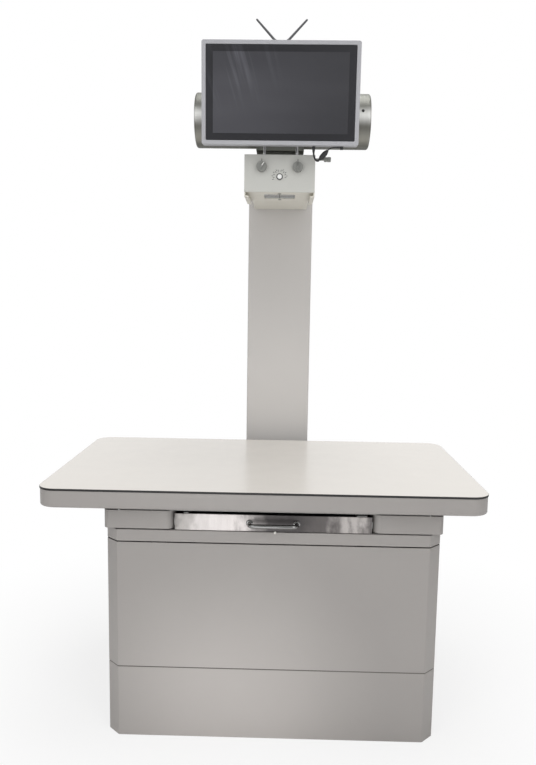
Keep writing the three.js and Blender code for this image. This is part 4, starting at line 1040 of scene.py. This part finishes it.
def knob_mesh(x, z, back):
    """A round control knob with fine flutes, its back on the collimator's face."""
    work = bmesh.new()
    # Each row is a share of the depth, a share of the radius, and whether the flutes cut it.
    rows = [(0.0, 0.93, False), (0.12, 1, True), (0.75, 1, True), (0.93, 0.95, False), (1.0, 0.86, False)]
    rings = []
    for share, size, fluted in rows:
        ring = []
        for i in range(KNOB_FLUTES * 2):
            angle = math.pi * i / KNOB_FLUTES
            grip = KNOB_RADIUS * size * (1 - FLUTE_DEPTH if fluted and i % 2 else 1)
            point = (x + grip * math.cos(angle), back - KNOB_DEPTH * share, z + grip * math.sin(angle))
            ring.append(work.verts.new(point))
        rings.append(ring)
    stitch_solid(work, rings)
    return finished(work, smooth=40)


def add_mark(name, centre, angle, start, length):
    """A short printed tick that points away from a centre on the collimator face."""
    work = bmesh.new()
    along = Vector((math.cos(angle), 0, math.sin(angle)))
    across = Vector((-along.z, 0, along.x)) * TICK_HALF_WIDTH
    lift = Vector((0, -TICK_THICKNESS, 0))
    near = Vector(centre) + along * start
    far = Vector(centre) + along * (start + length)
    corners = (near - across, near + across, far + across, far - across)
    stitch_solid(work, [[work.verts.new(p + rise) for p in corners] for rise in (lift * 0, lift)])
    placed(name, finished(work), "base", "grey_plastic", ["mark_grey"])


def add_knob(name, face, aim, line_look):
    """One aperture knob with its shaft, its pointer at an aim in degrees, and the tick over it."""
    node = "aperture_knob_" + name
    body = "knob_" + name
    low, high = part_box(node)
    x, z = (low.x + high.x) / 2, (low.z + high.z) / 2
    back = face - PLAY
    knob = placed(node + "_cap", knob_mesh(x, z, back), body, "grey_plastic")
    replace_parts(knob, node)
    foot = back - KNOB_DEPTH + POINTER_SINK
    half, reach = POINTER_HALF_WIDTH, POINTER_REACH
    bar = box_mesh((-half, low.y, -reach), (half, foot, reach))
    half = LINE_HALF_WIDTH
    line = box_mesh((-half, low.y - SKIN, LINE_START), (half, low.y + LINE_SINK, LINE_END))
    pointing = Matrix.Translation((x, 0, z)) @ Matrix.Rotation(math.radians(aim), 4, "Y")
    for mesh in (bar, line):
        mesh.transform(pointing)
    soften(placed(node + "_bar", bar, body, "grey_plastic"), POINTER_EDGE, 3)
    placed(node + "_line", line, body, "white_plastic", [line_look])
    shaft = lathe_mesh(rod_profile(SHAFT_RADIUS, SHAFT_LENGTH), "y", (x, back, z), segments=20)
    placed(node + "_shaft", shaft, body, "chrome")
    add_mark("dial_tick_" + name, (x, face, z), math.pi / 2, DIAL_TICK_START, DIAL_TICK_LENGTH)


def add_lamp_button(face):
    """The sprung button in its ring, with plain ticks round it and none straight above."""
    low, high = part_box("lamp_button")
    z = (low.z + high.z) / 2
    depth = high.y - low.y
    collar = depth - GAP
    crown = [(0, 0), (0.0056, 0), (0.0062, 0.0004), (0.0064, 0.0012), (0.0064, collar), (0.008, collar),
             (0.008, depth), (0, depth)]
    cap = lathe_mesh(crown, "y", (0, low.y, z), segments=40)
    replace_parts(placed("lamp_button_cap", cap, "button", "white_plastic"), "lamp_button")
    height = 0.0028
    ring = [(0.0068, 0), (0.0082, 0), (0.0088, 0.0006), (0.0088, height), (0.0068, height), (0.0068, 0)]
    bezel = lathe_mesh(ring, "y", (0, face - height, z), segments=40)
    placed("lamp_button_ring", bezel, "base", "grey_plastic", ["mark_grey"])
    for i in range(FIELD_TICKS):
        degrees = FIELD_TICK_FIRST + FIELD_TICK_STEP * i
        if degrees != 90:
            start = FIELD_TICK_START + FIELD_TICK_STAGGER * (i % 2)
            add_mark(f"field_tick_{i}", (0, face, z), math.radians(degrees), start, FIELD_TICK_LENGTH)


def add_lock_knob():
    """The turned clamp knob on its shaft, with a groove round its middle."""
    low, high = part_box("lock_knob")
    y, z = (low.y + high.y) / 2, (low.z + high.z) / 2
    start, end = high.x - LOCK_LENGTH, high.x
    profile = [(0, low.x), (0.003, low.x), (0.003, start), (0.0063, start), (0.007, start + 0.001),
               (0.007, start + 0.006), (0.0062, start + 0.007), (0.0062, start + 0.009),
               (0.007, start + 0.01), (0.007, end - 0.0015), (0.006, end), (0, end)]
    lock = lathe_mesh(profile, "x", (0, y, z), segments=40)
    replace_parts(placed("lock_knob_turned", lock, "lock", "grey_plastic"), "lock_knob")


def add_window():
    """Crosshair lines under the exit window, a dark screw before and behind it, and the rails' edges."""
    low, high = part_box("exit_window")
    half = (high.x - low.x) / 2 - CROSS_MARGIN
    thin = CROSS_HALF_WIDTH
    for name, dx, dy in (("cross_line_x", half, thin), ("cross_line_y", thin, half)):
        bar = box_mesh((-dx, BEAM_Y - dy, low.z - PLAY), (dx, BEAM_Y + dy, low.z - CROSS_GAP))
        placed(name, bar, "base", "black_rubber", ["core_black"])
    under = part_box("collimator_shell")[0].z
    height = 0.0012
    disc = [(0, 0), (0.0052, 0), (0.0052, 0.0007), (0.0044, height), (0, height)]
    for name, side in (("front", -1), ("rear", 1)):
        place = (0, BEAM_Y + side * (half + WINDOW_SCREW_GAP), under - height)
        mesh = lathe_mesh(disc, place=place, segments=24)
        placed("window_screw_" + name, mesh, "base", "black_rubber", ["core_black"])
    soften_nodes(("accessory_rail_left", "accessory_rail_right"), FINE_EDGE)


def add_collimator():
    """The collimator's covers, with the controls on its face and beside it and the window below."""
    soften_nodes(("collimator_shell", "collimator_face"), SHEET_EDGE)
    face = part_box("collimator_face")[0].y
    add_knob("left", face, 34, "white_plastic")
    add_knob("right", face, 0, "mark_grey")
    add_lamp_button(face)
    add_lock_knob()
    add_window()


# Monitor, drawn upright about its hinge and then leaned by its tilt

LEAN = Matrix.Translation(HINGE) @ Matrix.Rotation(MONITOR_TILT, 4, "X")
MONITOR_HALF_X = 0.2115
MONITOR_HALF_Z = 0.133
MONITOR_FACE = -0.058
MONITOR_RADIUS = 0.006
BEZEL_SIDE = 0.011
BEZEL_DEPTH = 0.008
BEZEL_EDGE = 0.0012
GLASS_RADIUS = 0.003
GLASS_SINK = 0.0005
GLASS_DEPTH = 0.003
ACTIVE_HALF = (0.1811, 0.1036)
ACTIVE_RADIUS = 0.0005
ACTIVE_SINK = 0.0003
ACTIVE_THICKNESS = 0.00015
BACK_DEPTH = 0.022
BACK_EDGE = 0.003
BRACKET_EDGE = 0.0012
VENT_COUNT = 12
VENT_LEFT = -0.11
VENT_PITCH = 0.02
VENT_WIDTH = 0.006
VENT_LOW = -0.1
VENT_HIGH = -0.06
VENT_RADIUS = 0.0029
VENT_SINK = 0.0003
VENT_RISE = 0.0004
ANTENNA_X = 0.0065
ANTENNA_Z = 0.131
ANTENNA_SPREAD = math.radians(43.5)
KNUCKLE_SEAT = 0.008
KNUCKLE_HALF = 0.0045


def leaned(mesh):
    mesh.transform(LEAN)
    return mesh


def plate_mesh(outline, y0, y1, hole=None):
    """A leaned plate between two depths, with an optional window of as many points."""
    if hole is None:
        mesh = prism_mesh(outline, -y1, -y0)
    else:
        mesh = ring_mesh(outline, hole, -y1, -y0)
    mesh.transform(TO_FRONT)
    return leaned(mesh)


def monitor_outline(by, radius):
    """The monitor's front outline, drawn in by a distance."""
    low, high = (-MONITOR_HALF_X, -MONITOR_HALF_Z), (MONITOR_HALF_X, MONITOR_HALF_Z)
    return rounded_rectangle(low, high, [radius] * 4, by, 8)


def add_monitor():
    """The bezel, cover glass, active screen and rear shell with its vents and antennas, the vents drawn as
    black slots that paint their shade.
    """
    face = MONITOR_FACE
    outer = monitor_outline(0, MONITOR_RADIUS)
    inner = monitor_outline(BEZEL_SIDE, GLASS_RADIUS)
    mesh = plate_mesh(outer, face, face + BEZEL_DEPTH, inner)
    bezel = placed("monitor_frame", mesh, "monitor", "silver_frame")
    soften(bezel, BEZEL_EDGE, 3)
    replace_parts(bezel, "monitor_bezel")

    front = face + GLASS_SINK
    mesh = plate_mesh(monitor_outline(BEZEL_SIDE + PLAY, GLASS_RADIUS), front, front + GLASS_DEPTH)
    glass = placed("screen_pane", mesh, "monitor", "dark_glass")
    soften(glass, FINE_EDGE)
    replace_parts(glass, "screen_glass")
    low = [-half for half in ACTIVE_HALF]
    active = rounded_rectangle(low, ACTIVE_HALF, [ACTIVE_RADIUS] * 4, steps=2)
    front = face + ACTIVE_SINK
    lit = plate_mesh(active, front, front + ACTIVE_THICKNESS)
    placed("screen_active", lit, "monitor", "dark_glass", ["screen_dark"])

    joint = face + BEZEL_DEPTH + PLAY
    rear = joint + BACK_DEPTH
    back = placed("monitor_rear_shell", plate_mesh(outer, joint, rear), "monitor", "silver_frame")
    soften(back, BACK_EDGE, 4)
    # Painted shade: black slots on the rear shell stand in for the dark vent openings
    for i in range(VENT_COUNT):
        left = VENT_LEFT + VENT_PITCH * i
        low, high = (left, VENT_LOW), (left + VENT_WIDTH, VENT_HIGH)
        slot = rounded_rectangle(low, high, [VENT_RADIUS] * 4, steps=4)
        mesh = plate_mesh(slot, rear - VENT_SINK, rear + VENT_RISE)
        placed(f"monitor_vent_shade_{i}", mesh, "monitor", "black_rubber", ["core_black"])
    add_antenna("left", -1, "antenna_l", rear)
    add_antenna("right", 1, "antenna_r", rear)
    soften_nodes(("lead_gland", "lead_socket"), FINE_EDGE)
    soften_nodes(["monitor_bracket"], BRACKET_EDGE)


def add_antenna(name, side, body, rear):
    """A whip antenna: a swivel knuckle and a tapered sleeve."""
    pivot = Vector((ANTENNA_X * side, rear + KNUCKLE_SEAT + PLAY + KNUCKLE_HALF, ANTENNA_Z))
    sleeve = [(0, -0.004), (0.0045, -0.004), (0.005, -0.003), (0.005, 0.010), (0.0042, 0.012),
              (0.0042, 0.016), (0.0034, 0.018), (0.0027, 0.085), (0.0024, 0.0885), (0.0012, 0.09),
              (0, 0.09)]
    turn = Matrix.Rotation(side * ANTENNA_SPREAD, 3, "Y")
    whip = leaned(lathe_mesh(sleeve, place=pivot, turn=turn, segments=24))
    piece = placed(f"antenna_{name}_whip", whip, body, "black_rubber", ["whip_grey"])
    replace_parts(piece, "antenna_" + name)
    end, edge = KNUCKLE_HALF, KNUCKLE_HALF - 0.0007
    knuckle = [(0, -end), (0.0048, -end), (0.0055, -edge), (0.0055, edge), (0.0048, end), (0, end)]
    hub = leaned(lathe_mesh(knuckle, "y", pivot, segments=24))
    placed(f"antenna_{name}_hub", hub, body, "black_rubber")


# Stage

def floor_material():
    """Pale floor that keeps the object's shadow and turns to plain white further out."""
    finish = Finish(Base_Color=FLOOR_GREY, Roughness=0.9, Specular_IOR_Level=0.1)
    finish.material.name = "pale_floor"
    distance = finish.add("VectorMath", "LENGTH")
    finish.link(finish.place, distance.inputs[0])
    fade = finish.add("MapRange", From_Min=FLOOR_FADE_START, From_Max=FLOOR_FADE_END, To_Min=FLOOR_WHITE)
    fade.interpolation_type = "SMOOTHSTEP"
    finish.link(distance.outputs["Value"], fade.inputs["Value"])
    path = finish.add("LightPath")
    both = finish.add("Math", "MULTIPLY")
    finish.link(path.outputs["Is Camera Ray"], both.inputs[0])
    finish.link(fade.outputs["Result"], both.inputs[1])
    white = finish.add("Emission", Strength=1)
    mix = finish.add("MixShader")
    finish.link(both.outputs["Value"], mix.inputs["Fac"])
    finish.link(finish.shader.outputs["BSDF"], mix.inputs[1])
    finish.link(white.outputs["Emission"], mix.inputs[2])
    finish.link(mix.outputs["Shader"], finish.named("Material Output").inputs["Surface"])
    return finish.material


def add_floor():
    work = bmesh.new()
    bmesh.ops.create_grid(work, x_segments=1, y_segments=1, size=FLOOR_SIZE)
    mesh = bpy.data.meshes.new("studio_floor")
    work.to_mesh(mesh)
    work.free()
    mesh.materials.append(floor_material())
    linked("studio_floor", mesh)


def add_world():
    """A white room: plain white when seen directly, dimmer as light, and graded in reflections."""
    world = bpy.data.worlds.new("studio_world")
    bpy.context.scene.world = world
    room = Nodes(world)
    background = room.named("Background")
    background.inputs["Color"].default_value = (1, 1, 1, 1)
    path = room.add("LightPath")
    direct = room.add("Math", "ADD")
    direct.use_clamp = True
    room.link(path.outputs["Is Camera Ray"], direct.inputs[0])
    room.link(path.outputs["Is Transmission Ray"], direct.inputs[1])
    split = room.add("SeparateXYZ")
    room.link(room.add("TexCoord").outputs["Generated"], split.inputs["Vector"])
    wall = room.add("MapRange", From_Min=ROOM_NEAR, From_Max=ROOM_FAR, To_Min=ROOM_LIGHT, To_Max=1)
    room.link(split.outputs["Y"], wall.inputs["Value"])
    mirrored = room.add("MapRange", To_Min=WORLD_LIGHT)
    room.link(path.outputs["Is Glossy Ray"], mirrored.inputs["Value"])
    room.link(wall.outputs["Result"], mirrored.inputs["To Max"])
    strength = room.add("MapRange", To_Max=1)
    room.link(direct.outputs["Value"], strength.inputs["Value"])
    room.link(mirrored.outputs["Result"], strength.inputs["To Min"])
    room.link(strength.outputs["Result"], background.inputs["Strength"])


def add_lamps():
    for name, place, aim, size, power in LAMPS:
        data = bpy.data.lights.new(name, "AREA")
        data.shape = "ELLIPSE"
        data.size, data.size_y = size
        data.energy = power
        lamp = linked(name, data)
        lamp.location = place
        lamp.rotation_euler = (Vector(aim) - Vector(place)).to_track_quat("-Z", "Y").to_euler()


add_camera()
add_lead()
dress_nodes()
add_cabinet()
add_tabletop()
add_drawer()
add_column()
add_tube()
add_collimator()
add_monitor()
add_floor()
add_world()
add_lamps()

bpy.context.scene.view_settings.view_transform = "Standard"
bpy.context.view_layer.update()
